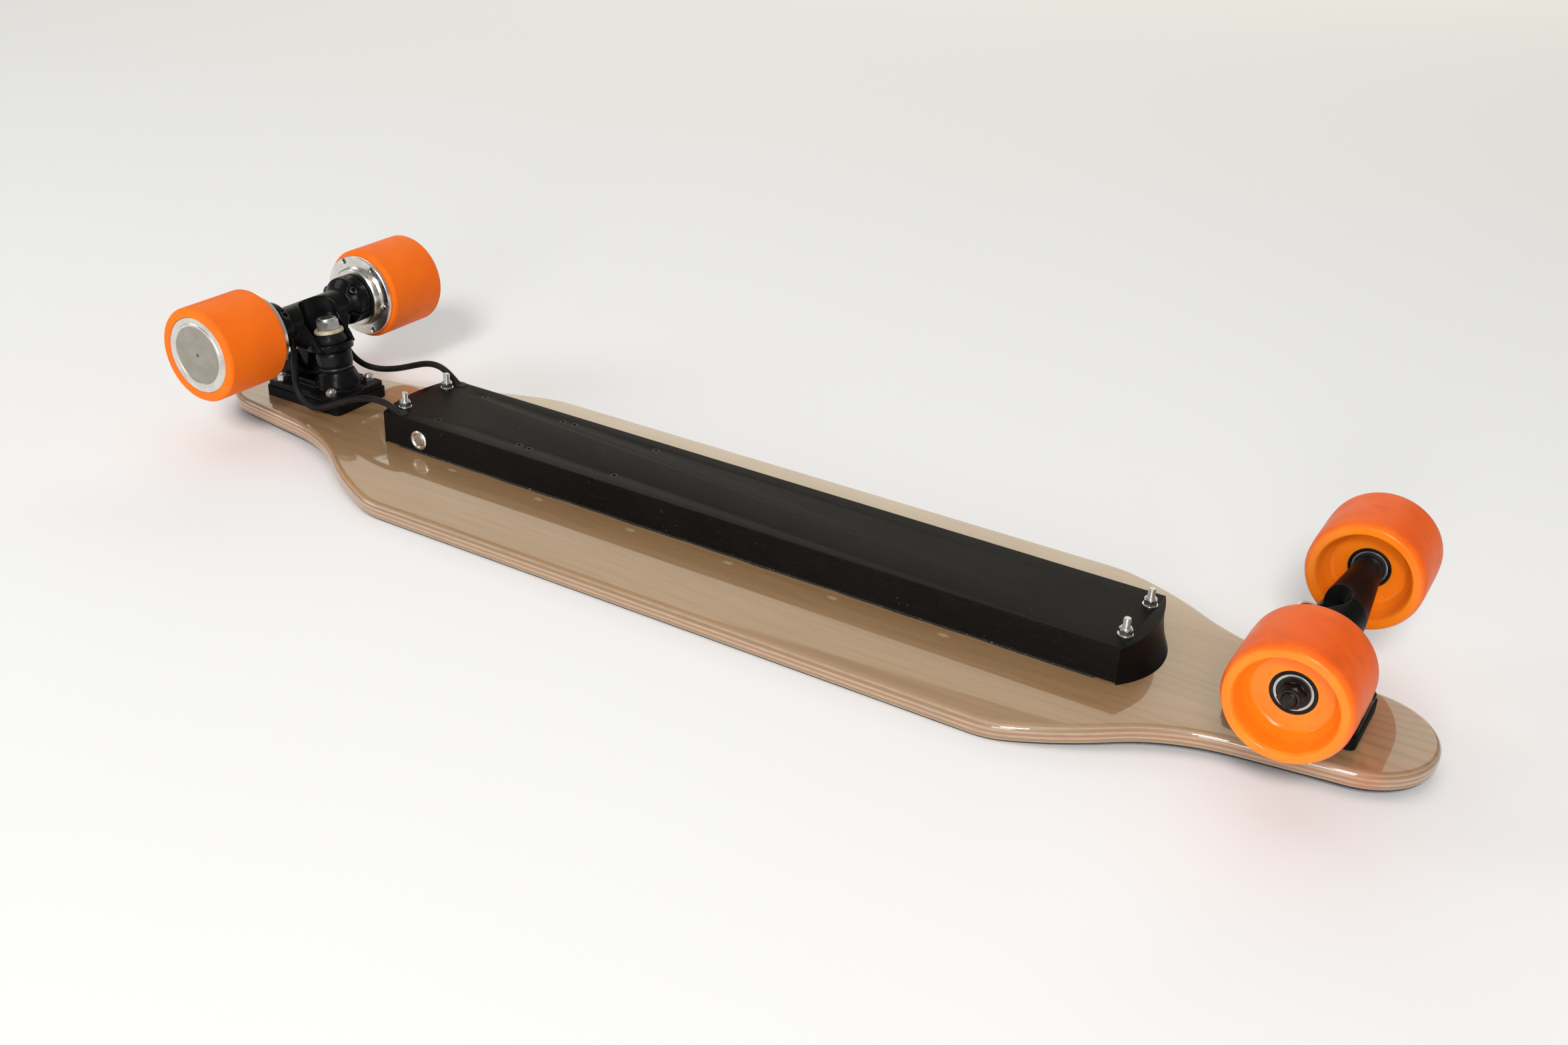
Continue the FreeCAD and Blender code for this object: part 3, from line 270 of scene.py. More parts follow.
def maple():
    """Lacquered maple veneer on the faces, and the stacked plies on the rim."""
    s = Shader("maple", Coat_Weight=1.0, Coat_IOR=1.56)
    warp = s.noise(3.2, 3.0, 0.5, 0.6, s.scaled(0.55, 2.2, 1))
    x, y, z = s.axes()
    lines_at = s.vector(s.times(x, 0.18), s.plus(y, s.times(warp, 0.11)), z)
    rings = s.bands(34.0, 2.6, 3.0, lines_at, "Y")
    fibre = s.noise(260.0, 5.0, 0.65, 0.2, s.scaled(0.022, 1, 1))
    fleck = s.noise(420.0, 2.0, 0.5, 0.0, s.scaled(0.09, 1, 1))
    cloud = s.noise(5.0, 3.0, 0.5, 0.4, s.scaled(0.5, 1.6, 1))
    light, mid, dark = (0.372, 0.222, 0.103), (0.328, 0.192, 0.087), (0.215, 0.118, 0.054)
    face = s.cloudy(cloud, 0.3, 0.7, mid, light)
    ends = s.ramp(s.size(x), (0.30, 0.26), (0.42, 1.0))
    face = s.lay(face, s.rise(rings, 0.62, 0.97), s.times(ends, 0.46), dark)
    face = s.lay(face, s.rise(fibre, 0.42, 0.66), 0.26, dark)
    face = s.lay(face, s.rise(fleck, 0.63, 0.73), 0.22, (0.30, 0.19, 0.11))
    # the plies, seven of them, each a little different
    depth = depth_below_face(s)
    wobble = s.noise(9.0, 2.0, 0.5, 0.0, s.scaled(1, 1, 0.1))
    ply_at = s.plus(s.times(depth, PLY_COUNT / PLY), s.times(wobble, 0.12))
    ply = s.math("FLOOR", ply_at)
    within = s.math("FRACT", ply_at)
    odd = s.math("FRACT", s.times(ply, 0.5))
    ply_colour = s.lay((0.46, 0.315, 0.185), odd, 2.0, (0.30, 0.185, 0.108))
    red_ply = s.math("COMPARE", ply, 3.0)
    ply_colour = s.lay(ply_colour, red_ply, 0.55, (0.40, 0.17, 0.10))
    end_grain = s.noise(900.0, 3.0, 0.6, 0.0, s.scaled(0.12, 0.12, 1))
    ply_colour = s.lay(ply_colour, s.rise(end_grain, 0.4, 0.7), 0.35, (0.24, 0.15, 0.09))
    glue = s.ramp(within, (0.0, 1.0), (0.1, 0.0), (0.93, 0.0), (1.0, 1.0))
    ply_colour = s.lay(ply_colour, glue, 0.5, (0.16, 0.09, 0.05))
    rim = s.rise(s.times(depth, 1000.0), 0.55, 0.95)
    colour = s.mix(rim, face, ply_colour)
    # painted orange bounce light and shade from the front wheels on the nose, broken up in a scuff-like
    # pattern
    spots = s.noise(30.0, 5.0, 0.62, 0.4, s.scaled(0.7, 1.3, 1))
    nose_zone = s.ramp(x, (0.425, 0.0), (0.452, 1.0), (0.474, 0.4))
    painted_orange_bounce = s.times(s.rise(spots, 0.50, 0.66), nose_zone)
    colour = s.lay(colour, painted_orange_bounce, 0.5, (0.50, 0.13, 0.055))
    rub = s.noise(95.0, 4.0, 0.6, 1.2, s.scaled(1, 0.35, 1))
    colour = s.lay(colour, s.rise(rub, 0.66, 0.75), 0.16, (0.25, 0.17, 0.12))
    colour = s.lay(colour, pale_dots(s), 0.55, (0.55, 0.47, 0.33))
    # residue of the foam's adhesive along the enclosure
    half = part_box("enclosure_channel")[1].y
    beside = s.minus(s.size(y), half)
    strip = s.times(s.fall(s.times(beside, 100.0), 0.02, 0.75), s.fall(s.size(x), 0.286, 0.302))
    crumbs = s.fall(s.cells(640.0), 0.10, 0.20)
    patch = s.rise(s.noise(38.0, 3.0, 0.6), 0.52, 0.62)
    residue = s.times(s.times(strip, crumbs), patch)
    colour = s.lay(colour, residue, 0.8, (0.72, 0.66, 0.56))
    smear = s.noise(14.0, 4.0, 0.6, 0.5)
    s.set("Coat Roughness", s.ease(smear, 0.35, 0.75, 0.025, 0.075))
    waves = s.noise(22.0, 2.0, 0.5, 0.3, s.scaled(0.5, 1, 1))
    s.bump(waves, 0.10, 0.0006)
    s.bump(fibre, 0.06, 0.0002)
    s.bump(glue, 0.12, 0.0002)
    s.bump(waves, 0.14, 0.0006, "Coat_Normal")
    return s.done(colour, s.ease(smear, 0.3, 0.75, 0.36, 0.52))


def grip():
    """Black grip tape: coarse grit with painted pale glints, a little worn in random patches."""
    s = Shader("grip", Specular_IOR_Level=0.35)
    grit = s.noise(1500.0, 3.0, 0.7)
    sand = s.cells(2100.0)
    wear = s.noise(9.0, 4.0, 0.6, 0.6)
    # pale specks painted into the colour as glints of light on the grit
    painted_glint = s.rise(s.noise(2600.0, 1.0, 0.5), 0.70, 0.78)
    colour = s.cloudy(grit, 0.35, 0.7, grey(0.008), (0.045, 0.044, 0.043))
    colour = s.lay(colour, s.rise(wear, 0.5, 0.75), 0.35, (0.09, 0.086, 0.08))
    colour = s.lay(colour, painted_glint, 0.5, (0.32, 0.31, 0.30))
    s.bump(sand, 0.8, 0.0004)
    s.bump(grit, 0.5, 0.0003)
    return s.done(colour, s.ease(grit, 0.3, 0.8, 0.95, 0.62))


def satin_black(name, colour, roughness, dust, coat=0.0):
    """Painted or anodised black metal with faint mottling, dust specks and hairline scratches."""
    s = Shader(name, Coat_Weight=coat, Coat_Roughness=0.12, IOR=1.12)
    cloud = s.noise(12.0, 4.0, 0.6, 0.4)
    lighter = shaded(colour, 1.3, 0.001)
    shade = s.cloudy(cloud, 0.35, 0.7, colour, lighter)
    specks = s.fall(s.cells(230.0), 0.035, 0.06)
    sparse = s.rise(s.noise(45.0, 2.0), 0.55, 0.60)
    shade = s.lay(shade, s.times(specks, sparse), dust, (0.34, 0.31, 0.28))
    hair = s.noise(60.0, 2.0, 0.5, 3.0, s.scaled(0.35, 4.0, 4.0, (0, 0, 0.5)))
    line = s.ramp(hair, (0.495, 0.0), (0.5, 1.0), (0.505, 0.0))
    shade = s.lay(shade, line, 0.12 * dust, (0.20, 0.19, 0.18))
    s.bump(s.noise(1400.0, 2.0, 0.5), 0.10, 0.0001)
    rubbed = s.noise(35.0, 5.0, 0.65, 0.3)
    return s.done(shade, s.ease(rubbed, 0.3, 0.75, roughness - 0.015, roughness + 0.03))


def cast_black(name, roughness, coat=0.08, ior=1.16):
    """Glossy black paint over cast metal, with the casting's soft unevenness and paler rubbed spots."""
    s = Shader(name, Coat_Weight=coat, Coat_Roughness=0.12, IOR=ior)
    cloud = s.noise(60.0, 4.0, 0.6, 0.3)
    shade = s.cloudy(cloud, 0.3, 0.8, (0.0030, 0.0030, 0.0032), (0.008, 0.008, 0.0085))
    chips = s.rise(s.noise(210.0, 4.0, 0.7, 0.5), 0.72, 0.76)
    shade = s.lay(shade, chips, 0.35, (0.10, 0.095, 0.09))
    s.bump(s.noise(240.0, 3.0, 0.55), 0.18, 0.0003)
    s.bump(s.noise(1500.0, 2.0, 0.5), 0.10, 0.0001)
    return s.done(shade, s.ease(cloud, 0.3, 0.75, roughness, roughness + 0.12))


def rubber(name, colour, roughness, grain=1200.0):
    """Black moulded rubber or urethane with a fine skin."""
    s = Shader(name, IOR=1.22)
    cloud = s.noise(80.0, 4.0, 0.6)
    shade = s.cloudy(cloud, 0.35, 0.75, colour, shaded(colour, 2.2, 0.004))
    s.bump(s.noise(grain, 3.0, 0.6), 0.22, 0.00015)
    return s.done(shade, s.ease(cloud, 0.3, 0.8, roughness, roughness + 0.15))


def foam():
    """Closed-cell foam strip with torn pores, painted darker in their hollows as shade, and pale crumbs of
    adhesive.
    """
    s = Shader("foam", Specular_IOR_Level=0.2)
    pores = s.cells(1700.0)
    crumbs = s.rise(s.noise(330.0, 3.0, 0.7), 0.63, 0.70)
    # painted shade: darker towards the middle of each pore, where the bumps sink
    shade = s.cloudy(pores, 0.2, 0.6, grey(0.006), (0.03, 0.029, 0.028))
    s.bump(pores, 0.7, 0.0004)
    return s.done(s.lay(shade, crumbs, 0.55, (0.36, 0.32, 0.27)), s.ease(pores, 0.2, 0.7, 0.98, 0.8))


def metal(name, colour, roughness, mottle=0.25, grain=700.0, dull=(0.3, 0.28, 0.25)):
    """Plated or turned steel: bright with cloudy dull patches and fine scratches."""
    s = Shader(name, Metallic=1.0)
    cloud = s.noise(190.0, 4.0, 0.65, 0.4)
    shade = s.lay(colour, s.rise(cloud, 0.4, 0.75), mottle, dull)
    s.bump(s.noise(grain, 3.0, 0.6), 0.16, 0.00008)
    return s.done(shade, s.ramp(s.noise(420.0, 4.0, 0.6), (0.3, roughness), (0.75, roughness + 0.16)))


def tool_marks(s, radius, along, scale, fine_scale):
    """Coarse and fine concentric marks, which also roughen the surface."""
    marks_at = s.vector(radius, along, 0.0)
    marks, fine = (s.noise(size, 2.0, 0.6, 0.0, marks_at) for size in (scale, fine_scale))
    s.bump(marks, 0.25, 0.00006)
    s.bump(fine, 0.2, 0.00003)
    return marks, fine


def turned_metal(name, colour, roughness, centre):
    """Machined metal with fine concentric tool marks about a cross axis."""
    s = Shader(name, Metallic=1.0)
    radius, _, along = s.around(centre)
    marks, fine = tool_marks(s, radius, along, 2600.0, 7020.0)
    cloud = s.noise(70.0, 4.0, 0.6, 0.5)
    shade = s.lay(colour, s.rise(cloud, 0.4, 0.75), 0.35, shaded(colour, 0.55))
    shade = s.lay(shade, s.rise(marks, 0.4, 0.65), 0.22, shaded(colour, 0.62))
    smudge = s.rise(s.noise(260.0, 4.0, 0.7), 0.66, 0.74)
    shade = s.lay(shade, smudge, 0.3, (0.10, 0.09, 0.08))
    return s.done(shade, s.ease(fine, 0.3, 0.75, roughness, roughness + 0.18))


def metal_paint(name, colour):
    """Thin yellowed plating, stained darker in patches."""
    s = Shader(name, Metallic=0.15, Specular_IOR_Level=0.5)
    stain = s.noise(230.0, 4.0, 0.65, 0.5)
    s.bump(s.noise(900.0, 3.0, 0.6), 0.15, 0.0001)
    shade = s.cloudy(stain, 0.45, 0.72, colour, shaded(colour, 0.5))
    return s.done(shade, s.ease(stain, 0.3, 0.7, 0.38, 0.55))


def motor_alloy(centre):
    """Turned alloy: bright flange and polished ring round a duller, sanded end disc, with the shade of one
    small centre pit painted dark.
    """
    s = Shader("motor_alloy", Metallic=1.0)
    radius, _, along = s.around(centre)
    marks, fine = tool_marks(s, radius, along, 1900.0, 5200.0)
    cloud = s.noise(70.0, 4.0, 0.6, 0.5)
    out = s.rise(s.times(s.size(along), 1 / 0.2), 0.50, 0.54)
    disc = s.times(out, s.fall(s.times(radius, 20.0), 0.445, 0.455))
    bright = s.cloudy(cloud, 0.4, 0.75, (0.80, 0.775, 0.73), (0.62, 0.59, 0.54))
    sanded = s.cloudy(cloud, 0.35, 0.7, (0.47, 0.435, 0.375), (0.38, 0.35, 0.30))
    shade = s.mix(disc, bright, sanded)
    shade = s.lay(shade, s.rise(marks, 0.4, 0.65), 0.20, (0.36, 0.34, 0.30))
    smudge = s.rise(s.noise(260.0, 4.0, 0.7), 0.66, 0.74)
    shade = s.lay(shade, smudge, 0.25, (0.10, 0.09, 0.08))
    # painted shade: a small dark spot at the end disc's centre, standing in for the shade in a pit
    painted_pit_shade = s.times(out, s.fall(s.times(radius, 100.0), 0.10, 0.16))
    shade = s.lay(shade, painted_pit_shade, 0.8, (0.05, 0.04, 0.035))
    s.set("Base Color", shade)
    polish = s.ease(fine, 0.3, 0.75, 0.16, 0.30)
    s.set("Roughness", s.plus(polish, s.times(disc, 0.24)))
    return s.material


def gloss_urethane():
    """Translucent orange urethane with a wet shine, a cloudy body and light dirt on the tread; the dish is
    painted brighter as its glow in the light and the tread darker as shade.
    """
    s = Shader("urethane_gloss", Subsurface_Weight=0.45, Subsurface_Scale=0.009, Coat_Roughness=0.05)
    s.set("Subsurface Radius", (1.0, 0.28, 0.06))
    cloud = s.noise(28.0, 4.0, 0.55, 0.8)
    radius, angle, along = s.around(middle("near_front_wheel"))
    tread = s.rise(s.times(radius, 10.0), 0.325, 0.362)
    # painted light: the dish's colour is made brighter to stand in for its glow under the light, and the
    # tread's darker as shade
    dish = s.cloudy(cloud, 0.3, 0.75, (1.0, 0.210, 0.007), (1.0, 0.262, 0.011))
    shaded_tread_colour = s.cloudy(cloud, 0.3, 0.75, (0.83, 0.104, 0.007), (0.90, 0.136, 0.010))
    shade = s.mix(tread, dish, shaded_tread_colour)
    round_x = s.times(s.math("COSINE", angle), 0.5)
    dirt_at = s.vector(round_x, s.times(along, 24.0), s.times(s.math("SINE", angle), 0.5))
    dirt = s.noise(5.5, 5.0, 0.65, 0.4, dirt_at)
    patch = s.noise(21.0, 4.0, 0.6, 0.3)
    film = s.times(s.rise(dirt, 0.42, 0.74), s.rise(patch, 0.38, 0.66))
    shade = s.lay(shade, s.times(film, tread), 0.42, (0.33, 0.06, 0.035))
    specks = s.fall(s.cells(330.0), 0.045, 0.08)
    shade = s.lay(shade, specks, 0.25, (0.20, 0.05, 0.02))
    s.set("IOR", s.minus(1.40, s.times(tread, 0.24)))
    s.set("Coat Weight", s.times(s.minus(1.0, tread), 0.14))
    worn = s.times(tread, s.ease(patch, 0.35, 0.7, 0.1, 0.30))
    s.bump(s.noise(55.0, 3.0, 0.5), 0.10, 0.0005)
    s.bump(s.noise(900.0, 3.0, 0.6), 0.06, 0.00012)
    return s.done(shade, s.plus(worn, s.ease(cloud, 0.3, 0.75, 0.17, 0.26)))


def matt_urethane():
    """The drive wheels' duller orange urethane: dry, dusty and pitted, with black flecks."""
    s = Shader("urethane_matt", Subsurface_Weight=0.12, Subsurface_Scale=0.003, IOR=1.25)
    s.set("Subsurface Radius", (1.0, 0.3, 0.08))
    cloud = s.noise(24.0, 5.0, 0.6, 0.6)
    shade = s.cloudy(cloud, 0.3, 0.75, (0.95, 0.150, 0.004), (1.0, 0.190, 0.007))
    flecks = s.fall(s.cells(240.0), 0.045, 0.075)
    few = s.rise(s.noise(60.0, 2.0), 0.5, 0.56)
    shade = s.lay(shade, s.times(flecks, few), 0.75, (0.07, 0.03, 0.02))
    lint = s.fall(s.cells(150.0, s.scaled(1.0, 0.5, 1.6)), 0.035, 0.06)
    shade = s.lay(shade, lint, 0.4, (0.85, 0.55, 0.42))
    dusty = s.noise(85.0, 5.0, 0.7, 0.5)
    shade = s.lay(shade, s.rise(dusty, 0.5, 0.8), 0.20, (0.62, 0.16, 0.06))
    s.bump(s.noise(700.0, 4.0, 0.65), 0.22, 0.0002)
    s.bump(s.cells(240.0), 0.10, 0.0003)
    return s.done(shade, s.ease(dusty, 0.3, 0.75, 0.46, 0.66))


def circuit_board():
    """Green board with tracks, pads and vias."""
    s = Shader("circuit_board", Specular_IOR_Level=0.5, Coat_Weight=0.5, Coat_Roughness=0.2)
    tracks = s.rise(s.cells(300.0, s.scaled(1, 1, 0.01), "F2"), 0.50, 0.54)
    pads = s.fall(s.cells(420.0), 0.12, 0.16)
    shade = s.mix(tracks, (0.006, 0.085, 0.035), (0.012, 0.15, 0.06))
    s.bump(tracks, 0.3, 0.0001)
    return s.done(s.mix(pads, shade, (0.55, 0.53, 0.48)), s.ease(tracks, 0.2, 0.8, 0.45, 0.3))


def wrapped_cell():
    """Blue shrink wrap over a cell, painted darker in the hollows of its wrinkles as shade."""
    s = Shader("cell_wrap", Coat_Weight=0.6, Coat_Roughness=0.15)
    creases_and_painted_shade = s.noise(140.0, 4.0, 0.6, 1.5, s.scaled(1, 0.2, 1))
    s.bump(creases_and_painted_shade, 0.3, 0.0003)
    # painted shade: darker blue where the wrinkles sink, lighter on their crests
    shade = s.mix(creases_and_painted_shade, (0.012, 0.06, 0.19), (0.03, 0.12, 0.32))
    return s.done(shade, s.ease(creases_and_painted_shade, 0.3, 0.7, 0.3, 0.5))


def winding():
    """Copper windings over dark steel laminations."""
    s = Shader("winding", Metallic=1.0)
    radius, _, along = s.around(middle("near_rear_tyre"))
    wires = s.bands(420.0, 1.0, 2.0, s.vector(along, s.times(radius, 0.4), 0.0), "X")
    s.bump(wires, 0.5, 0.0003)
    shade = s.mix(wires, (0.10, 0.03, 0.01), (0.62, 0.28, 0.09))
    return s.done(shade, s.ease(wires, 0.2, 0.8, 0.45, 0.28))


def floor_material():
    """A pale, very slightly uneven studio floor."""
    s = Shader("studio_floor", Specular_IOR_Level=0.25)
    cloud = s.noise(2.2, 4.0, 0.55)
    return s.done(s.mix(cloud, grey(0.93), grey(0.95)), s.ease(cloud, 0.3, 0.7, 0.75, 0.85))


# ---- mesh helpers ----

def middle(node):
    """The centre of a node's box."""
    low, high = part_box(node)
    return (low + high) / 2


def linked(name, data):
    """A new object in the scene."""
    made = bpy.data.objects.new(name, data)
    bpy.context.scene.collection.objects.link(made)
    return made


def new_mesh(name, points, faces):
    mesh = bpy.data.meshes.new(name)
    mesh.from_pydata(points, [], faces)
    return mesh


def baked(thing):
    """The mesh of an object with its modifiers applied, or of a curve."""
    depsgraph = bpy.context.evaluated_depsgraph_get()
    return bpy.data.meshes.new_from_object(thing.evaluated_get(depsgraph))


def dress(mesh, material):
    """Gives a mesh one material."""
    mesh.materials.clear()
    mesh.materials.append(material)


def merged(mesh, distance):
    """A bmesh of a mesh, with points closer than a distance made one."""
    work = bmesh.new()
    work.from_mesh(mesh)
    bmesh.ops.remove_doubles(work, verts=work.verts, dist=distance)
    return work


def mesh_from(work, name):
    """A new mesh from a bmesh, which is freed."""
    mesh = bpy.data.meshes.new(name)
    work.to_mesh(mesh)
    work.free()
    return mesh


def finished(name, mesh, material, body, node, angle=35.0):
    """A piece from a mesh or several, riding on a body and standing for a node."""
    if isinstance(mesh, list):
        mesh = joined_mesh(name, mesh)
    work = merged(mesh, 1e-7)
    bmesh.ops.dissolve_degenerate(work, edges=work.edges, dist=1e-8)
    bmesh.ops.recalc_face_normals(work, faces=work.faces)
    work.to_mesh(mesh)
    work.free()
    piece = linked(name, mesh)
    dress(mesh, material)
    mesh.shade_smooth()
    mesh.set_sharp_from_angle(angle=math.radians(angle))
    if body is not None:
        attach(piece, body)
    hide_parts(node)
    return piece


def corner_arc(back, here, ahead, radius, room):
    """The arc that rounds off a corner: its centre, the arm to its start and its signed turn."""
    before = back - here
    after = ahead - here
    longest = room * min(before.length, after.length)
    before.normalize()
    after.normalize()
    half = before.angle(after) / 2
    reach = min(radius / math.tan(half), longest)
    centre = here + (before + after).normalized() * (reach * math.tan(half) / math.sin(half))
    first = here + before * reach - centre
    return centre, first, math.copysign(math.pi - 2 * half, after.cross(before))


def turned(arm, angle):
    c, n = math.cos(angle), math.sin(angle)
    return Vector((arm.x * c - arm.y * n, arm.x * n + arm.y * c))


def rounded(points, steps=5):
    """A polyline of (x, y) or (x, y, radius) corners with each given radius turned into an arc."""
    result = []
    spots = [Vector(point[:2]) for point in points]
    for index, point in enumerate(points):
        if len(point) < 3:
            result.append(spots[index])
            continue
        following = spots[(index + 1) % len(points)]
        centre, first, turn = corner_arc(spots[index - 1], spots[index], following, point[2], 0.49)
        result += [centre + turned(first, turn * step / steps) for step in range(steps + 1)]
    return result


def grid_faces(rows, columns, closed_rows=False):
    """Quads over a grid of rows of points; columns always close on themselves."""
    faces = []
    last = rows if closed_rows else rows - 1
    for row in range(last):
        following = (row + 1) % rows
        for column in range(columns):
            ahead = (column + 1) % columns
            faces.append((row * columns + column, row * columns + ahead,
                          following * columns + ahead, following * columns + column))
    return faces


def mm(points):
    return [tuple(value * MM for value in point) for point in points]


def capped_mesh(name, points, columns):
    """A tube through rows of points, with a flat face at both ends."""
    ends = [tuple(range(columns))[::-1], tuple(range(len(points) - columns, len(points)))]
    return new_mesh(name, points, grid_faces(len(points) // columns, columns) + ends)


def about(place, axis):
    """A function that gives the point at a radius, an angle and a height about an axis."""
    spin = UP.rotation_difference(Vector(axis))
    return lambda reach, angle, height: Vector(place) + spin @ Vector(
        (reach * math.cos(angle), reach * math.sin(angle), height))


def lathe_mesh(profile, place, axis, segments=128, shape=None, turn=0.0):
    """A closed (radius, height) profile turned about an axis.

    shape, if given, works out the radius from the profile's radius and height and the angle.
    """
    at = about(place, axis)
    points = []
    for radius, height in profile:
        for index in range(segments):
            angle = 2 * math.pi * index / segments
            points.append(at(shape(radius, height, angle) if shape else radius, angle + turn, height))
    return new_mesh("turned", points, grid_faces(len(profile), segments, True))


def turning(profile, place, axis, segments=128, steps=4):
    """A turned mesh from (radius, height) or (radius, height, rounding) corners in millimetres."""
    return lathe_mesh(rounded(mm(profile), steps), place, axis, segments)


def mirrored(corners, middle_height):
    """Profile corners, followed by their mirror image above a height."""
    return corners + [(corner[0], 2 * middle_height - corner[1], *corner[2:]) for corner in corners[::-1]]


def joined_mesh(name, meshes):
    """Several meshes as one."""
    work = bmesh.new()
    for mesh in meshes:
        work.from_mesh(mesh)
    return mesh_from(work, name)


# ---- places worked out from the frame ----

def islands(node):
    """The boxes (low, high) of a node's separate solids, in a fixed order."""
    work = merged(NODES[node].data, 1e-6)
    left = set(work.verts)
    boxes = []
    while left:
        stack = [left.pop()]
        spots = []
        while stack:
            vert = stack.pop()
            spots.append(tuple(vert.co))
            ahead = {edge.other_vert(vert) for edge in vert.link_edges} & left
            left -= ahead
            stack += ahead
        boxes.append([Vector([pick(values) for values in zip(*spots)]) for pick in (min, max)])
    work.free()
    return sorted(boxes, key=lambda pair: tuple(round(value, 4) for value in pair[0]))


def standing(node):
    """The foot (middle of the underside) and the height of each of a node's solids."""
    return [(Vector(((low.x + high.x) / 2, (low.y + high.y) / 2, low.z)), high.z - low.z)
            for low, high in islands(node)]


AXLE_X = middle("front_axle").x
AXLE_Z = middle("front_axle").z
BOX_LOW, BOX_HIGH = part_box("enclosure_channel")
# where the front kingpin's lower cup lies, and the way the kingpin leans
SEAT = Vector((384 * MM, 0, FACE + 26 * MM))
LEAN = Vector((7.0, 0, 44.0)).normalized()
END = {"front": 1, "rear": -1}
SIDE = {"near": -1, "far": 1}


def at_end(vector, end):
    """A place or direction of the front truck, turned to the given end."""
    return Vector((vector[0] * END[end], vector[1] * END[end], vector[2]))


# ---- deck ----

TAPE = 1 * MM
# the outline's corners in one quarter: x, y and the radius that rounds them
QUARTER = [(0.2466, 0.1155, 0.060), (0.2865, 0.0995, 0.253), (0.3424, 0.0600, 0.146),
           (0.4800, 0.0421, 0.0479)]


def half_outline(inset, step):
    """Plan points and outward normals of the +Y side, from the nose to the tail."""
    corners = QUARTER[::-1] + [(-x, y, r) for x, y, r in QUARTER]
    nose = Vector((QUARTER[-1][0], 0))
    spots = [nose] + [Vector(corner[:2]) for corner in corners] + [-nose]
    run = [(nose, Vector((1, 0)))]
    for back, here, ahead, (_, _, radius) in zip(spots, spots[1:], spots[2:], corners):
        centre, first, turn = corner_arc(back, here, ahead, radius, 1.0)
        count = max(4, int(radius * abs(turn) / step))
        last = run[-1][0]
        start = centre + first
        pieces = int((start - last).length / (step * 1.6))
        line = (back - here).normalized()
        straight = Vector((-line.y, line.x)) * (1.0 if line.x >= 0 else -1.0)
        run += [(last.lerp(start, number / pieces), straight) for number in range(1, pieces)]
        for number in range(count + 1):
            arm = turned(first, turn * number / count)
            run.append((centre + arm, arm.normalized() * math.copysign(1.0, turn)))
    last = run[-1][0]
    pieces = max(2, int((-nose - last).length / step))
    run += [(last.lerp(-nose, number / pieces), Vector((-1, 0))) for number in range(1, pieces + 1)]
    return [(spot - normal * inset, normal) for spot, normal in run]


def curved_height(y, depth):
    """Height of a surface that lies a given depth under the deck's bare face."""
    out = max(0.0, abs(y) - FLAT_HALF)
    return FACE - CONCAVE + math.sqrt((CONCAVE - depth) ** 2 - out ** 2)


def slab(name, top, bottom, inset, top_round, low_round, step, columns):
    """A deck-shaped slab between two depths, with rounded rims and evenly gridded faces."""
    outline = half_outline(inset, step)
    work = bmesh.new()
    spread = 0.86
    shares = [math.sin((column / columns - 0.5) * math.pi * spread) / math.sin(spread / 2 * math.pi)
              for column in range(columns + 1)]

    def face_rows(depth, shrink):
        places = [spot - normal * shrink for spot, normal in outline]
        return [[work.verts.new((place.x, y, curved_height(y, depth)))
                 for y in (share * max(place.y, 0.0) for share in shares)] for place in places]

    upper = face_rows(top, top_round)
    lower = face_rows(bottom, low_round)
    for rows in (upper, lower):
        for row, following in zip(rows, rows[1:]):
            for column in range(columns):
                work.faces.new([row[column], following[column], following[column + 1], row[column + 1]])
    for edge, side in ((columns, 1), (0, -1)):
        loops = [[row[edge] for row in upper]]
        for shrink, depth in rim_rows(top, bottom, top_round, low_round, 6):
            # a round on the wing leans with it, so its height follows the wing's own slope
            loops.append([work.verts.new((place.x, side * max(place.y, 0.0), curved_height(y, depth)))
                          for place, y in ((spot - normal * shrink, spot.y) for spot, normal in outline)])
        loops.append([row[edge] for row in lower])
        for high, low in zip(loops, loops[1:]):
            for index in range(len(outline) - 1):
                work.faces.new((high[index], low[index], low[index + 1], high[index + 1]))
    bmesh.ops.remove_doubles(work, verts=work.verts, dist=2e-6)
    return mesh_from(work, name)


def rim_rows(top, bottom, top_round, low_round, steps):
    """Loops (shrink, depth) from the upper face's edge down the side to the lower face's edge."""
    angles = [math.pi / 2 * number / steps for number in range(1, steps + 1)]
    arcs = [(1 - math.sin(angle), 1 - math.cos(angle)) for angle in angles]
    start = top + top_round
    flat = bottom - low_round - start
    pieces = max(1, int(flat / (0.8 * MM)))
    return ([(top_round * inward, top + top_round * down) for inward, down in arcs]
            + [(0.0, start + flat * number / pieces) for number in range(1, pieces + 1)]
            + [(low_round * inward, bottom - low_round * up) for up, inward in arcs[:-1]])


def make_deck():
    mesh = slab("deck_wood", 0.0, PLY, 0.0, 4 * MM, 2 * MM, 0.0026, 72)
    finished("deck_wood", mesh, maple(), BOARD, "deck", 40)
    tape = slab("grip_tape_sheet", PLY, PLY + TAPE, 1.5 * MM, 0.15 * MM, 0.15 * MM, 0.004, 48)
    piece = finished("grip_tape_sheet", tape, grip(), BOARD, "grip_tape", 40)
    hole = [(ZERO, -6), (5.2, -6), (5.2, 6), (ZERO, 6)]
    feet = [foot for foot, _ in standing("mounting_bolts") + standing("enclosure_bolts")]
    carve(piece, [lathe_mesh(mm(hole), foot, UP, 40) for foot in feet])


def carve(piece, punches):
    """Cuts the shapes of some meshes out of a piece."""
    tool = linked("punch", joined_mesh("punch", punches))
    modifier = piece.modifiers.new("cut", "BOOLEAN")
    modifier.object = tool
    modifier.operation = "DIFFERENCE"
    modifier.solver = "EXACT"
    result = baked(piece)
    piece.modifiers.clear()
    dress(result, piece.data.materials[0])
    piece.data = result
    bpy.data.objects.remove(tool)


# ---- fasteners ----

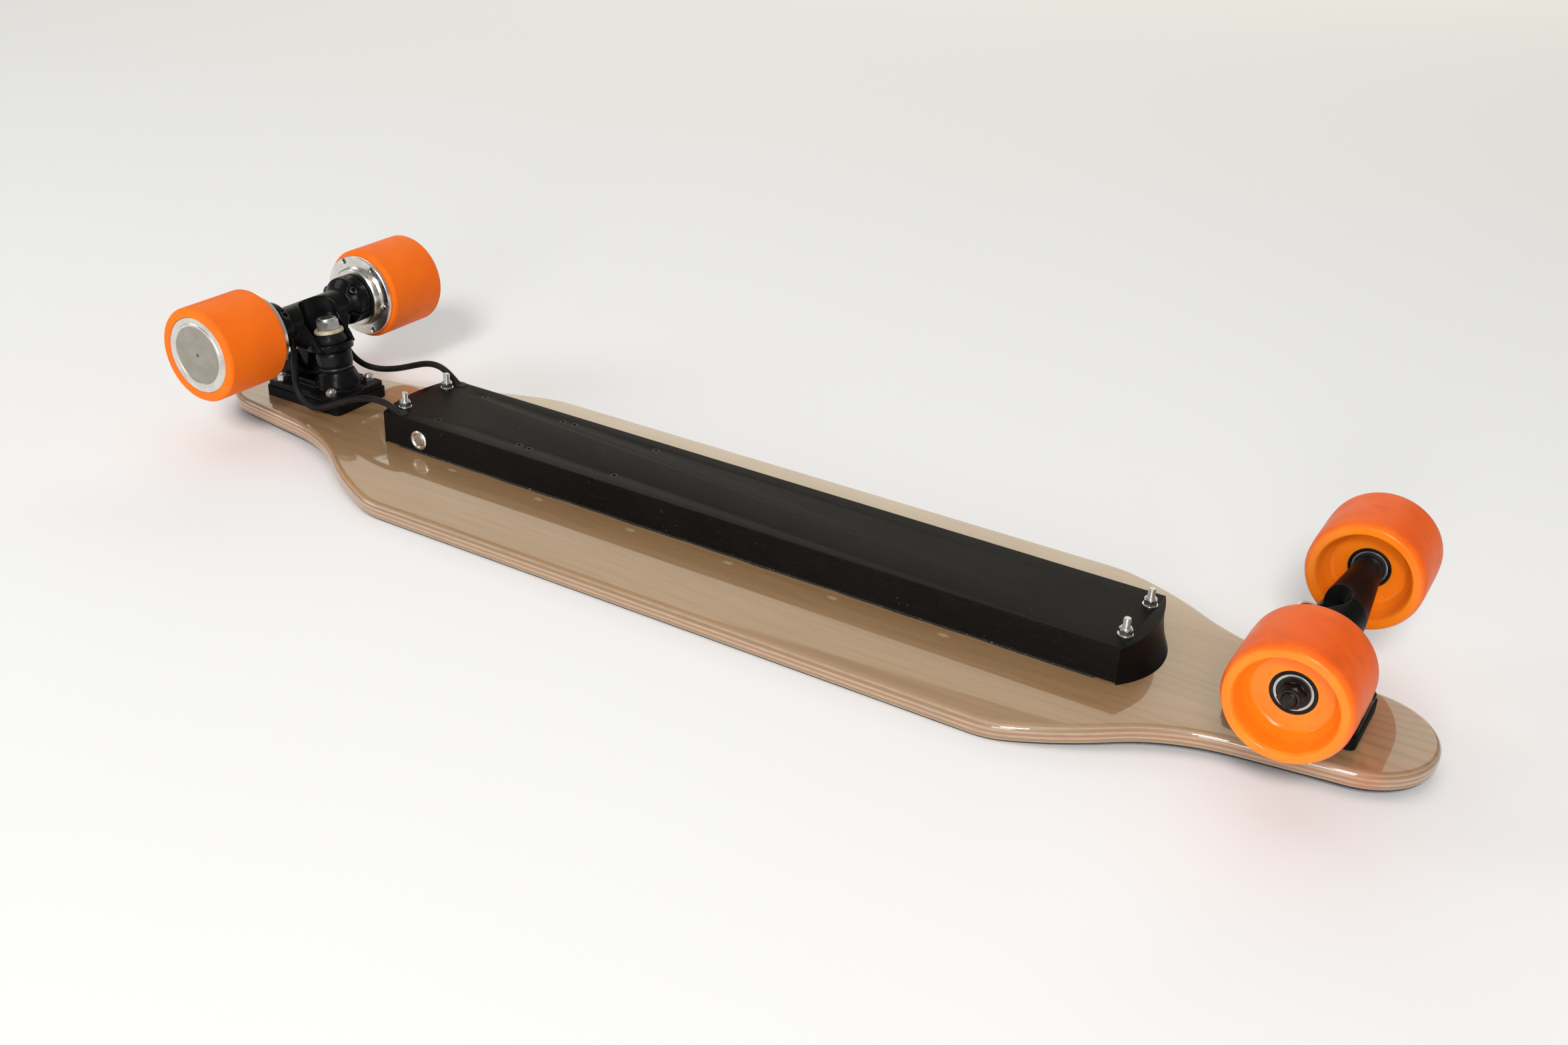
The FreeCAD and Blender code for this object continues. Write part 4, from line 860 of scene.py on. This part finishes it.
def thread_mesh(radius, pitch, length, place, axis, chamfer=0.6, segments=36):
    """A threaded shank: a helical ridge over its whole length in metres, with a chamfered tip."""
    radius, pitch, chamfer = radius * MM, pitch * MM, chamfer * MM
    at = about(place, axis)
    rows_per_turn, depth = 8, 0.55 * pitch
    rows = max(4, int(length / pitch * rows_per_turn))
    points = []
    for row in range(rows + 1):
        height = length * row / rows
        for index in range(segments):
            phase = (height / pitch + index / segments) % 1.0
            ridge = radius - depth * abs(phase * 2 - 1)
            tip = radius - chamfer + length - height
            points.append(at(min(ridge, tip), 2 * math.pi * index / segments, height))
    faces = grid_faces(rows + 1, segments)
    foot, tip, last = len(points), len(points) + 1, rows * segments
    points += [at(0, 0, 0), at(0, 0, length)]
    for index, ahead in zip(range(segments), [*range(1, segments), 0]):
        faces += [(foot, ahead, index), (tip, last + index, last + ahead)]
    return new_mesh("thread", points, faces)


def hexagon(angle):
    """How far a hexagon reaches at an angle, for a distance of 1 to its flats."""
    return 1 / math.cos((angle % (math.pi / 3)) - math.pi / 6)


def nut_mesh(sizes, bore, place, axis, turn):
    """A chamfered hexagon nut (corner radius, height) with a rounded nylon collar (radius, height)."""
    (radius, height), (collar, collar_height) = mm(sizes)
    bore *= MM
    flat = radius * math.cos(math.pi / 6)
    chamfer = radius - flat
    shares = (0, 1 / 3, 2 / 3, 1)
    rows = [(flat + chamfer * (0.2 + 1.1 * share), 0.45 * chamfer * share) for share in shares]
    rows += [(radius + chamfer * (0.1 - 1.05 * share), height - 0.6 * chamfer * (1 - share))
             for share in shares]
    top = height + collar_height
    for foot, reach, base, level in (
            (collar, 0.12, height, 0), (collar, 0, height, 0.1), (collar, -0.02, top, -0.35),
            (collar, -0.15, top, -0.1), (collar, -0.45, top, 0), (bore, 0.5, top, -0.05),
            (bore, 0, top, -0.45), (bore, 0, 0, 0.3), (bore, 0.3, 0, 0)):
        rows.append((foot + reach * MM, base + level * MM))
    return lathe_mesh(rows, place, axis, 96, lambda reach, _, angle: min(flat * hexagon(angle), reach), turn)


def sunk_head_mesh(length, place):
    """A countersunk bolt head with a hexagon socket on the grip side, and its plain shank above."""
    socket = 1.6 * MM
    points = mm([(ZERO, 1.9), (1.44, 1.9), (1.6, 1.5), (1.6, 0.15), (1.75, 0), (4.45, 0), (4.7, 0.2),
                 (4.7, 0.45), (2.2, 2.7)]) + [(2.2 * MM, length), (ZERO * MM, length)]

    def shape(reach, height, angle):
        if reach > socket + 0.01 * MM or reach < 0.5 * socket or height > 2 * MM:
            return reach
        return reach * 0.93 * hexagon(angle)

    return lathe_mesh(points, place, UP, 48, shape)


def ring_mesh(inner, outer, high, place, axis, soft=0.12):
    """A flat ring with softened edges."""
    corners = [(inner, 0, soft), (outer, 0, soft)]
    return turning(mirrored(corners, high / 2), place, axis, 72, 3)


def bolt_group(kind, pieces, plated, bright):
    """Bolts standing up from the grip side: heads, threaded ends and lock nuts."""
    shafts = []
    exposed = 24 * MM
    for foot, height in standing(f"{kind}_bolts"):
        shank = height - exposed
        shafts.append(sunk_head_mesh(shank, foot))
        shafts.append(thread_mesh(2.5, 0.8, exposed, foot + UP * shank, UP))
    finished(f"{pieces}_bolts", shafts, plated, BOARD, f"{kind}_bolts", 30)
    nuts = [nut_mesh([(4.62, 3.7), (3.6, 1.1)], 2.45, foot, UP, 0.4 + 1.9 * number)
            for number, (foot, _) in enumerate(standing(f"{kind}_nuts"))]
    finished(f"{pieces}_lock_nuts", nuts, bright, BOARD, f"{kind}_nuts", 30)


def make_fasteners():
    plated = metal("zinc_bolts", (0.60, 0.60, 0.58), 0.30, 0.45)
    bright = metal("zinc_nuts", (0.68, 0.675, 0.65), 0.24, 0.40)
    bolt_group("mounting", "truck", plated, bright)
    bolt_group("enclosure", "box", plated, bright)
    rings = [ring_mesh(2.7, 5.0, 1.0, foot, UP) for foot, _ in standing("enclosure_washers")]
    finished("box_washers", rings, bright, BOARD, "enclosure_washers", 30)
    screws = metal("screw_black", (0.020, 0.020, 0.021), 0.45, 0.3, 700.0, (0.05, 0.046, 0.042))
    assign("cover_screws", screws)


def wheel_size(node):
    """A wheel's inner and outer face from the board's middle and its radius, in millimetres."""
    low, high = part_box(node)
    faces = sorted((abs(low.y) / MM, abs(high.y) / MM))
    return *faces, (high.x - low.x) / 2 / MM


def assign(node, material):
    """Gives a CAD node a material."""
    dress(NODES[node].data, material)


def modified(node, name, *steps):
    """A CAD node's mesh after some modifiers, each given as its kind and settings."""
    piece = linked(name, mesh_from(merged(NODES[node].data, 2e-6), name))
    for kind, settings in steps:
        modifier = piece.modifiers.new(kind, kind)
        for setting, value in settings.items():
            setattr(modifier, setting, value)
    result = baked(piece)
    bpy.data.objects.remove(piece)
    return result


def cast_piece(node, name, material, body, voxel, rounds):
    """A casting: the CAD solid remeshed evenly and relaxed, so that all its corners get a soft fillet."""
    remesh = {"mode": "VOXEL", "voxel_size": voxel * MM, "use_smooth_shade": True}
    mesh = modified(node, name, ("REMESH", remesh), ("SMOOTH", {"factor": 0.5, "iterations": rounds}))
    finished(name, mesh, material, body, node, 180)


def softened(node, name, material, width, angle=40, segments=2):
    """A CAD solid of the board with small rounded edges."""
    merge = {"decimate_type": "DISSOLVE", "angle_limit": math.radians(1.0)}
    bevel = {"width": width * MM, "segments": segments, "limit_method": "ANGLE",
             "angle_limit": math.radians(angle)}
    mesh = modified(node, name, ("DECIMATE", merge), ("BEVEL", bevel))
    finished(name, mesh, material, BOARD, node, 20)


# ---- enclosure ----

def make_enclosure():
    channel = satin_black("channel_black", (0.0060, 0.0052, 0.0046), 0.44, 0.9)
    caps = satin_black("cap_black", (0.0040, 0.0032, 0.0029), 0.36, 0.5, 0.04)
    lips = rubber("grommet_rubber", grey(0.008), 0.48)
    softened("enclosure_channel", "box_channel", channel, 0.25)
    softened("front_end_cap", "front_cap", caps, 0.35)
    softened("rear_end_cap", "rear_cap", caps, 0.35)
    make_gasket()
    softened("cable_grommets", "roof_grommets", lips, 0.2, 50)
    make_button()
    make_socket()


def make_gasket():
    """The foam strips squeezed out along the enclosure's foot: an uneven edge along a fixed length."""
    strips = []
    section = 8
    for low, high in islands("enclosure_gasket"):
        side = 1 if low.y + high.y > 0 else -1
        inner, outer = sorted((side * low.y, side * high.y))
        length = high.x - low.x
        count = int(length / (2 * MM))
        top = high.z - 0.02 * MM
        half = (top - low.z) / 2
        points = []
        for row in range(count + 1):
            share = row / count
            x = low.x + length * share
            bulge = 0.35 * MM * math.sin(x * 61 + 1.3 * side) + 0.25 * MM * math.sin(x * 173 + 0.7)
            bulge += random.uniform(-0.10, 0.10) * MM
            taper = min(1.0, 8 * share, 8 * (1 - share))
            edge = outer + (0.1 * MM + 0.9 * bulge) * taper - 0.45 * MM
            for number in range(section + 1):
                angle = math.pi * (number / section - 0.5)
                y = edge - 0.55 * MM * (1 - math.cos(angle))
                points.append((x, side * y, low.z + half + half * math.sin(angle)))
            points += [(x, side * inner, top), (x, side * inner, low.z)]
        strips.append(capped_mesh("strip", points, section + 3))
    piece = finished("foam_strips", strips, foam(), BOARD, "enclosure_gasket")


def make_button():
    """The push button: a chamfered stainless bezel, a dark gap and a lightly domed cap."""
    spot = middle("button_housing")
    at = Vector((spot.x, BOX_LOW.y, spot.z))
    axis = (0, -1, 0)
    steel = turned_metal("bezel_steel", (0.66, 0.62, 0.54), 0.24, at)
    worn = turned_metal("cap_steel", (0.50, 0.43, 0.34), 0.34, at)
    dark = metal("barrel_steel", (0.30, 0.29, 0.27), 0.35, 0.4)
    bezel = [(4.68, -0.4), (7.6, 0.0), (7.6, 1.2, 0.3), (6.5, 2.0, 0.4), (5.7, 2.0, 0.3), (4.9, 1.25, 0.2),
             (4.68, 1.1)]
    tube = [(4.68, -12), (ZERO, -12), (ZERO, -20), (5.9, -20), (5.9, -0.3), (4.68, -0.3)]
    dome = [(ZERO, -10), (4.6, -10), (4.6, 0.95, 0.15), (4.25, 1.45, 0.3), (2.5, 1.52, 0.5), (ZERO, 1.55)]
    finished("button_bezel", turning(bezel, at, axis), steel, BOARD, "button_housing")
    finished("button_barrel", turning(tube, at, axis, 64), dark, BOARD, "button_housing")
    finished("button_face", turning(dome, at, axis, 96), worn, "power_button", "button_cap")
    assign("button_nut", dark)


def make_socket():
    """The charging socket: a flanged black shell, a steel-lined hole and a centre pin."""
    spot = middle("charge_socket")
    at = Vector((spot.x, BOX_HIGH.y, spot.z))
    axis = (0, 1, 0)
    plastic = rubber("socket_plastic", grey(0.014), 0.38, 900.0)
    body = [(3.1, -9), (ZERO, -9), (ZERO, -14), (5.9, -14, 0.3), (5.9, 0), (7.5, 0), (7.5, 1.0, 0.3),
            (6.9, 1.6, 0.3), (4.2, 1.6, 0.2), (3.8, 1.1, 0.1), (3.1, 1.1, 0.1)]
    post = [(ZERO, -9), (1.0, -9), (1.0, -0.5, 0.2), (0.6, 0, 0.2), (ZERO, 0.02)]
    brass = metal("socket_pin", (0.72, 0.66, 0.50), 0.25)
    finished("socket_shell", turning(body, at, axis, 96), plastic, BOARD, "charge_socket")
    finished("socket_pin", turning(post, at, axis, 32, 3), brass, BOARD, "charge_socket")


# ---- battery and electronics ----

def make_inside():
    board = circuit_board()
    black = rubber("component_black", grey(0.014), 0.5)
    assign("battery_cells", wrapped_cell())
    assign("nickel_strips", metal("nickel", (0.68, 0.66, 0.60), 0.3, 0.2))
    assign("heat_spreaders", metal("heat_alloy", (0.62, 0.62, 0.63), 0.38, 0.2))
    for node in ("battery_board", "motor_controllers", "radio_receiver"):
        assign(node, board)
    for node in ("power_transistors", "capacitors"):
        assign(node, black)


# ---- trucks ----

def make_trucks():
    painted = cast_black("truck_paint", 0.20)
    front_painted = cast_black("front_truck_paint", 0.30, 0.03, 1.08)
    plates = cast_black("plate_paint", 0.26)
    riser = rubber("riser_rubber", grey(0.0025), 0.52)
    cup = rubber("cup_rubber", grey(0.010), 0.5)
    bushing = rubber("bushing_urethane", (0.006, 0.006, 0.0065), 0.24, 500.0)
    for end in END:
        cast_piece(f"{end}_baseplate", f"{end}_plate", plates, BOARD, 0.65, 5)
        softened(f"{end}_riser", f"{end}_riser_pad", riser, 0.5, 40, 3)
        assign(f"{end}_pivot_cup", cup)
        make_bushings(end, bushing)
    make_kingpins()
    cast_piece("front_hanger", "front_hanger_casting", front_painted, FRONT, 0.75, 5)
    cast_piece("rear_hanger", "rear_hanger_casting", painted, REAR, 0.65, 4)
    assign("clamp_screws", metal("clamp_black", (0.05, 0.048, 0.047), 0.33, 0.35, 700.0, (0.16, 0.15, 0.13)))


def make_kingpins():
    """Each truck's kingpin, with its lock nut and the cups that hold the bushings."""
    cream = metal_paint("cream_washer", (0.58, 0.50, 0.33))
    dark = metal("cup_steel", (0.16, 0.155, 0.15), 0.33, 0.4)
    zinc = metal("kingpin_zinc", (0.62, 0.62, 0.60), 0.27, 0.5)
    nylon = metal("kingpin_end", (0.05, 0.048, 0.045), 0.42, 0.3, 600.0, (0.15, 0.14, 0.12))
    shank = [(TINY, -15.9), (7.6, -15.9), (8.4, -15.2), (8.4, -11), (4.7, -11), (4.7, 12.0), (TINY, 12.0)]
    high = [(5.15, 31.5, 0.1), (9.9, 31.5, 0.3), (10.4, 30.6, 0.1), (11.6, 30.6, 0.3), (11.6, 32.0, 0.6),
            (10.8, 33.4, 0.5), (5.15, 33.4, 0.1)]
    low = [(5.15, 0.1, 0.1), (12.4, 0.1, 0.4), (13.6, 2.6, 0.2), (12.9, 2.6, 0.1), (12.2, 2.0, 0.3),
           (5.15, 2.0, 0.1)]
    nuts, kingpins, upper, lower = [], [], [], []
    for end, turn in (("front", 0.1), ("rear", 0.35)):
        seat = at_end(SEAT, end)
        lean = at_end(LEAN, end)
        nuts.append(nut_mesh([(9.8, 7.0), (7.4, 1.6)], 4.9, seat + lean * 33.5 * MM, lean, turn))
        kingpins.append(turning(shank, seat, lean, 64))
        start = seat + lean * 12.0 * MM
        kingpins.append(thread_mesh(5.0, 1.25, 30.8 * MM, start, lean, 0.8, 48))
        upper.append(turning(high, seat, lean, 96))
        lower.append(turning(low, seat, lean, 96))
    finished("kingpin_lock_nuts", nuts, zinc, BOARD, "kingpin_nuts", 30)
    finished("kingpin_shanks", kingpins, nylon, BOARD, "kingpins", 30)
    finished("upper_cups", upper, cream, BOARD, "cup_washers")
    finished("lower_cups", lower, dark, BOARD, "cup_washers")


def make_bushings(end, material):
    """Urethane bushings with rounded shoulders, set between the board and the hanger."""
    lower = [(5.2, 2.1), (12.6, 2.1, 0.9), (14.25, 5.4, 2.2), (14.25, 13.4, 2.2), (12.6, 16.7, 0.9),
             (5.2, 16.7), (5.2, 13.0), (5.2, 9.4), (5.2, 5.8)]
    upper = [(5.2, 22.3), (12.9, 22.3, 0.9), (12.7, 26.0, 2.5), (9.7, 31.4, 0.9), (5.2, 31.4), (5.2, 28.4),
             (5.2, 25.4)]
    seat = at_end(SEAT, end)
    lean = at_end(LEAN, end)
    for level, outline, moved, held in (("lower", lower, 16.7, 2.1), ("upper", upper, 22.3, 31.4)):
        name = f"{end}_{level}_bushing"
        mesh = turning(outline, seat, lean, 128, 6)
        piece = finished(f"{name}_urethane", mesh, material, None, name)
        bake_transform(piece)


# ---- front wheels ----

DISH = 16.8  # how deep the wheel's dish is, in millimetres


def make_front_wheels():
    orange = gloss_urethane()
    core = rubber("core_plastic", grey(0.005), 0.28, 500.0)
    shield = rubber("bearing_shield", grey(0.010), 0.36, 600.0)
    black = metal("axle_black", (0.030, 0.029, 0.028), 0.34, 0.3, 600.0, (0.10, 0.09, 0.08))
    bright = metal("washer_zinc", (0.55, 0.55, 0.53), 0.28, 0.4)
    centre = Vector((AXLE_X, 0, AXLE_Z))
    steel = turned_metal("bearing_steel", (0.62, 0.60, 0.56), 0.20, centre)
    for name, side in SIDE.items():
        axis = (0, side, 0)
        body = f"{name}_front_wheel_body"
        inner, outer, wheel = wheel_size(f"{name}_front_wheel")
        floor = inner + DISH
        centre_line = (inner + outer) / 2
        tyre = [(13.0, floor, 0.3), (22.4, floor, 3.4), (26.0, inner + 10.5, 9.0), (27.9, inner + 1.7, 0.9),
                (29.1, inner, 0.5), (33.7, inner, 1.6), (wheel - 0.35, inner + 4.6, 3.6),
                (wheel, inner + 13.0, 9.0)]
        ring = turning(mirrored(tyre, centre_line), centre, axis, 256, 10)
        finished(f"{name}_front_tyre", ring, orange, body, f"{name}_front_wheel", 50)
        sleeve = [(9.5, floor + 7.0), (11.0, floor + 7.0), (11.0, floor - 0.35, 0.2),
                  (13.05, floor - 0.35, 0.5)]
        ring = turning(mirrored(sleeve, centre_line), centre, axis, 160)
        finished(f"{name}_front_sleeve", ring, core, body, f"{name}_front_core")
        make_bearings(name, centre, axis, body, floor, outer - DISH, steel, shield)
    make_axle(centre, black, bright)


def make_bearings(name, centre, axis, body, floor, roof, steel, shield):
    """Two shielded bearings and the spacer between them."""
    rings = []
    seals = []
    thick = 7.0
    for low in (floor, roof - thick):
        half_way = low + thick / 2
        for start, end in ((4.05, 6.1), (9.3, 11.0)):
            rings.append(turning(mirrored([(start, low, 0.25), (end, low, 0.25)], half_way), centre, axis))
        lip = [(6.1, low + 0.45, 0.1), (6.6, low + 0.3, 0.2), (8.8, low + 0.3, 0.2), (9.3, low + 0.5, 0.1)]
        seals.append(turning(mirrored(lip, half_way), centre, axis, 128, 3))
    spacer = [(4.05, floor + thick), (5.5, floor + thick)]
    rings.append(turning(mirrored(spacer, (floor + roof) / 2), centre, axis, 64))
    node = f"{name}_front_bearings"
    finished(f"{name}_bearing_rings", rings, steel, body, node)
    finished(f"{name}_bearing_seals", seals, shield, body, node)


def make_axle(centre, black, bright):
    """The front axle's threaded ends, lock nuts and speed washers."""
    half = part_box("front_axle")[1].y / MM
    inner, outer, _ = wheel_size("near_front_wheel")
    plain = 88.0
    parts = [turning(mirrored([(ZERO, -plain), (3.75, -plain)], 0.0), centre, (0, 1, 0), 48)]
    nuts = []
    washers = []
    for number, side in enumerate((-1, 1)):
        axis = Vector((0, side * MM, 0))
        start = centre + axis * plain
        parts.append(thread_mesh(4.0, 1.25, (half - plain) * MM, start, axis, 0.7, 40))
        nut_at = centre + axis * (outer - DISH + 1.1)
        nuts.append(nut_mesh([(7.5, 5.6), (5.9, 1.6)], 3.85, nut_at, axis, 0.25 + number))
        for base, thick in ((outer - DISH + 0.4, 0.6), (inner + DISH - 0.85, 0.45)):
            washers.append(ring_mesh(4.0, 5.8, thick, centre + axis * base, axis, 0.08))
    finished("axle_rod", parts, black, FRONT, "front_axle", 30)
    finished("axle_lock_nuts", nuts, black, FRONT, "front_axle_nuts", 30)
    finished("axle_washers", washers, bright, FRONT, "front_speed_washers", 30)


# ---- hub motor wheels ----

def make_rear_wheels():
    orange = matt_urethane()
    centre = Vector((-AXLE_X, 0, AXLE_Z))
    alloy = motor_alloy(centre)
    coil = winding()
    screws = metal("flange_screw", (0.20, 0.19, 0.175), 0.38, 0.4, 700.0, (0.12, 0.11, 0.10))
    for name, side in SIDE.items():
        axis = (0, side, 0)
        body = f"{name}_rear_wheel_body"
        inner, outer, wheel = wheel_size(f"{name}_rear_tyre")
        tyre = [(29.3, inner), (33.0, inner, 0.3), (35.0, inner + 0.35, 1.4), (wheel, inner + 2.2, 1.8),
                (wheel, (inner + outer) / 2, 40.0), (wheel, outer - 2.0, 1.6), (35.3, outer - 0.2, 0.8),
                (33.8, outer, 0.6), (29.3, outer, 0.3)]
        ring = turning(tyre, centre, axis, 256, 8)
        finished(f"{name}_rear_rubber", ring, orange, body, f"{name}_rear_tyre", 50)
        hub = [(8.08, 48.6, 0.2), (22.8, 48.6, 0.3), (24.0, 49.8, 0.4), (24.0, 54.0, 0.5), (32.4, 54.0, 0.3),
               (33.0, 54.6, 0.3), (33.0, 58.25, 0.1), (29.3, 58.3), (29.3, outer - 0.9, 0.3),
               (28.8, outer - 0.4, 0.3), (24.7, outer - 0.4, 0.1), (24.3, outer, 0.25), (22.5, outer, 0.25),
               (22.1, outer - 0.5, 0.2), (ZERO, outer - 0.5)]
        inside = [(ZERO, 109.2), (6.05, 109.2), (6.05, 105.2), (26.0, 105.2), (26.0, 60.5), (14.0, 60.5),
                  (14.0, 58.5), (8.08, 58.5)]
        can = lathe_mesh(rounded(mm(hub)) + rounded(mm(inside)), centre, axis, 192)
        piece = finished(f"{name}_motor_can", can, alloy, body, f"{name}_motor_hub", 30)
        sink = [(TINY, 0.0), (2.4, 0.0), (2.4, 1.0), (2.12, 1.3), (2.12, 2.8), (1.2, 2.8), (1.2, 5.4),
                (ZERO, 5.4)]
        punches = []
        for low, high in islands(f"{name}_flange_screws"):
            start = ((low.x + high.x) / 2, side * 53.0 * MM, (low.z + high.z) / 2)
            punches.append(lathe_mesh(mm(sink), start, axis, 40))
        carve(piece, punches)
        assign(f"{name}_flange_screws", screws)
        assign(f"{name}_motor_stator", coil)


# ---- motor cables ----

# control points; heights are above the deck's face
NEAR_CABLE = [
    (-0.3988, -0.0291, 0.0506), (-0.3967, -0.0309, 0.0380), (-0.3964, -0.0330, 0.0220),
    (-0.3918, -0.0344, 0.0129), (-0.3835, -0.0352, 0.0072), (-0.3734, -0.0354, 0.0061),
    (-0.3595, -0.0352, 0.0114), (-0.3438, -0.0348, 0.0193), (-0.3270, -0.0346, 0.0268),
    (-0.3085, -0.0346, 0.0306), (-0.2910, -0.0346, 0.0292), (-0.2798, -0.0346, 0.0204),
]
FAR_CABLE = [
    (-0.4070, 0.0295, 0.0515), (-0.4080, 0.0330, 0.0375), (-0.4070, 0.0368, 0.0235),
    (-0.3965, 0.0398, 0.0140), (-0.3805, 0.0423, 0.0126), (-0.3630, 0.0445, 0.0164),
    (-0.3460, 0.0453, 0.0229), (-0.3315, 0.0440, 0.0289), (-0.3185, 0.0414, 0.0326),
    (-0.3053, 0.0375, 0.0338), (-0.2925, 0.0348, 0.0296), (-0.2822, 0.0346, 0.0208),
]


def smooth_line(name, route):
    """Closely spaced points along a NURBS curve through a route's control points."""
    data = bpy.data.curves.new(name, "CURVE")
    data.dimensions = "3D"
    spline = data.splines.new("NURBS")
    spline.points.add(len(route) - 1)
    for point, (x, y, z) in zip(spline.points, route):
        point.co = (x, y, z + FACE, 1.0)
    spline.order_u = 3
    spline.use_endpoint_u = True
    spline.resolution_u = 24
    curve = linked(name, data)
    bpy.context.view_layer.update()
    line = [vert.co.copy() for vert in baked(curve).vertices]
    bpy.data.objects.remove(curve)
    return line


def tube_mesh(name, line, radius, segments=28):
    """A round tube along a line, with flat ends, turned as little as possible on its way."""
    tangent = (line[1] - line[0]).normalized()
    side = tangent.orthogonal().normalized()
    points = []
    for index, spot in enumerate(line):
        before = line[max(0, index - 1)]
        after = line[min(len(line) - 1, index + 1)]
        ahead = (after - before).normalized()
        side = (side - ahead * side.dot(ahead)).normalized()
        other = ahead.cross(side)
        for number in range(segments):
            angle = 2 * math.pi * number / segments
            points.append(spot + (side * math.cos(angle) + other * math.sin(angle)) * radius)
    return capped_mesh(name, points, segments)


def make_cables():
    jacket = rubber("cable_jacket", grey(0.0075), 0.36, 1500.0)
    for name, route in (("near", NEAR_CABLE), ("far", FAR_CABLE)):
        line = smooth_line(f"{name}_line", route)
        node = f"{name}_motor_cable"
        tube = tube_mesh(node, line, 2.5 * MM)
        piece = finished(f"{name}_cable", tube, jacket, None, node, 60)
        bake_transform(piece)


# ---- studio ----

def make_floor():
    size = 6.0
    corners = [(-size, -size, 0), (size, -size, 0), (size, size, 0), (-size, size, 0)]
    floor = linked("floor", new_mesh("floor", corners, [(0, 1, 2, 3)]))
    floor.location.z = cad_low.z - 0.0002
    dress(floor.data, floor_material())


def make_light(name, place, aim, size, power, colour=(1, 1, 1), size_y=None):
    data = bpy.data.lights.new(name, "AREA")
    data.energy = power
    data.color = colour
    data.size = size
    if size_y:
        data.shape = "RECTANGLE"
        data.size_y = size_y
    light = linked(name, data)
    light.location = place
    light.rotation_euler = (Vector(aim) - Vector(place)).to_track_quat("-Z", "Y").to_euler()


def make_lights():
    """An even pale room, with soft boxes overhead, near the camera, at the side and over the background."""
    bpy.context.scene.view_settings.view_transform = "Standard"
    world = bpy.data.worlds.new("studio")
    world.use_nodes = True
    world.node_tree.nodes["Background"].inputs["Color"].default_value = (0.95, 0.97, 1.0, 1.0)
    world.node_tree.nodes["Background"].inputs["Strength"].default_value = 0.32
    bpy.context.scene.world = world
    make_light("overhead", (-0.3, 0.1, 4.2), (0, 0, 0), 3.6, 20.0)
    make_light("key", (1.2, -3.1, 2.6), (0.1, 0, 0.05), 0.8, 92.0, (1.0, 0.985, 0.96))
    make_light("front", (0.9, -2.9, 0.75), (0, 0, 0.05), 0.9, 26.0, (1.0, 0.985, 0.96))
    make_light("side", (-2.6, -1.5, 1.5), (-0.2, 0, 0.05), 1.2, 16.0, (0.97, 0.985, 1.0))
    make_light("backdrop", (-1.6, 4.0, 1.9), (-0.2, 0.6, 0), 6.0, 84.0, (1, 0.93, 0.74), 3.8)


make_deck()
make_fasteners()
make_enclosure()
make_inside()
make_trucks()
make_front_wheels()
make_rear_wheels()
make_cables()
make_floor()
make_lights()
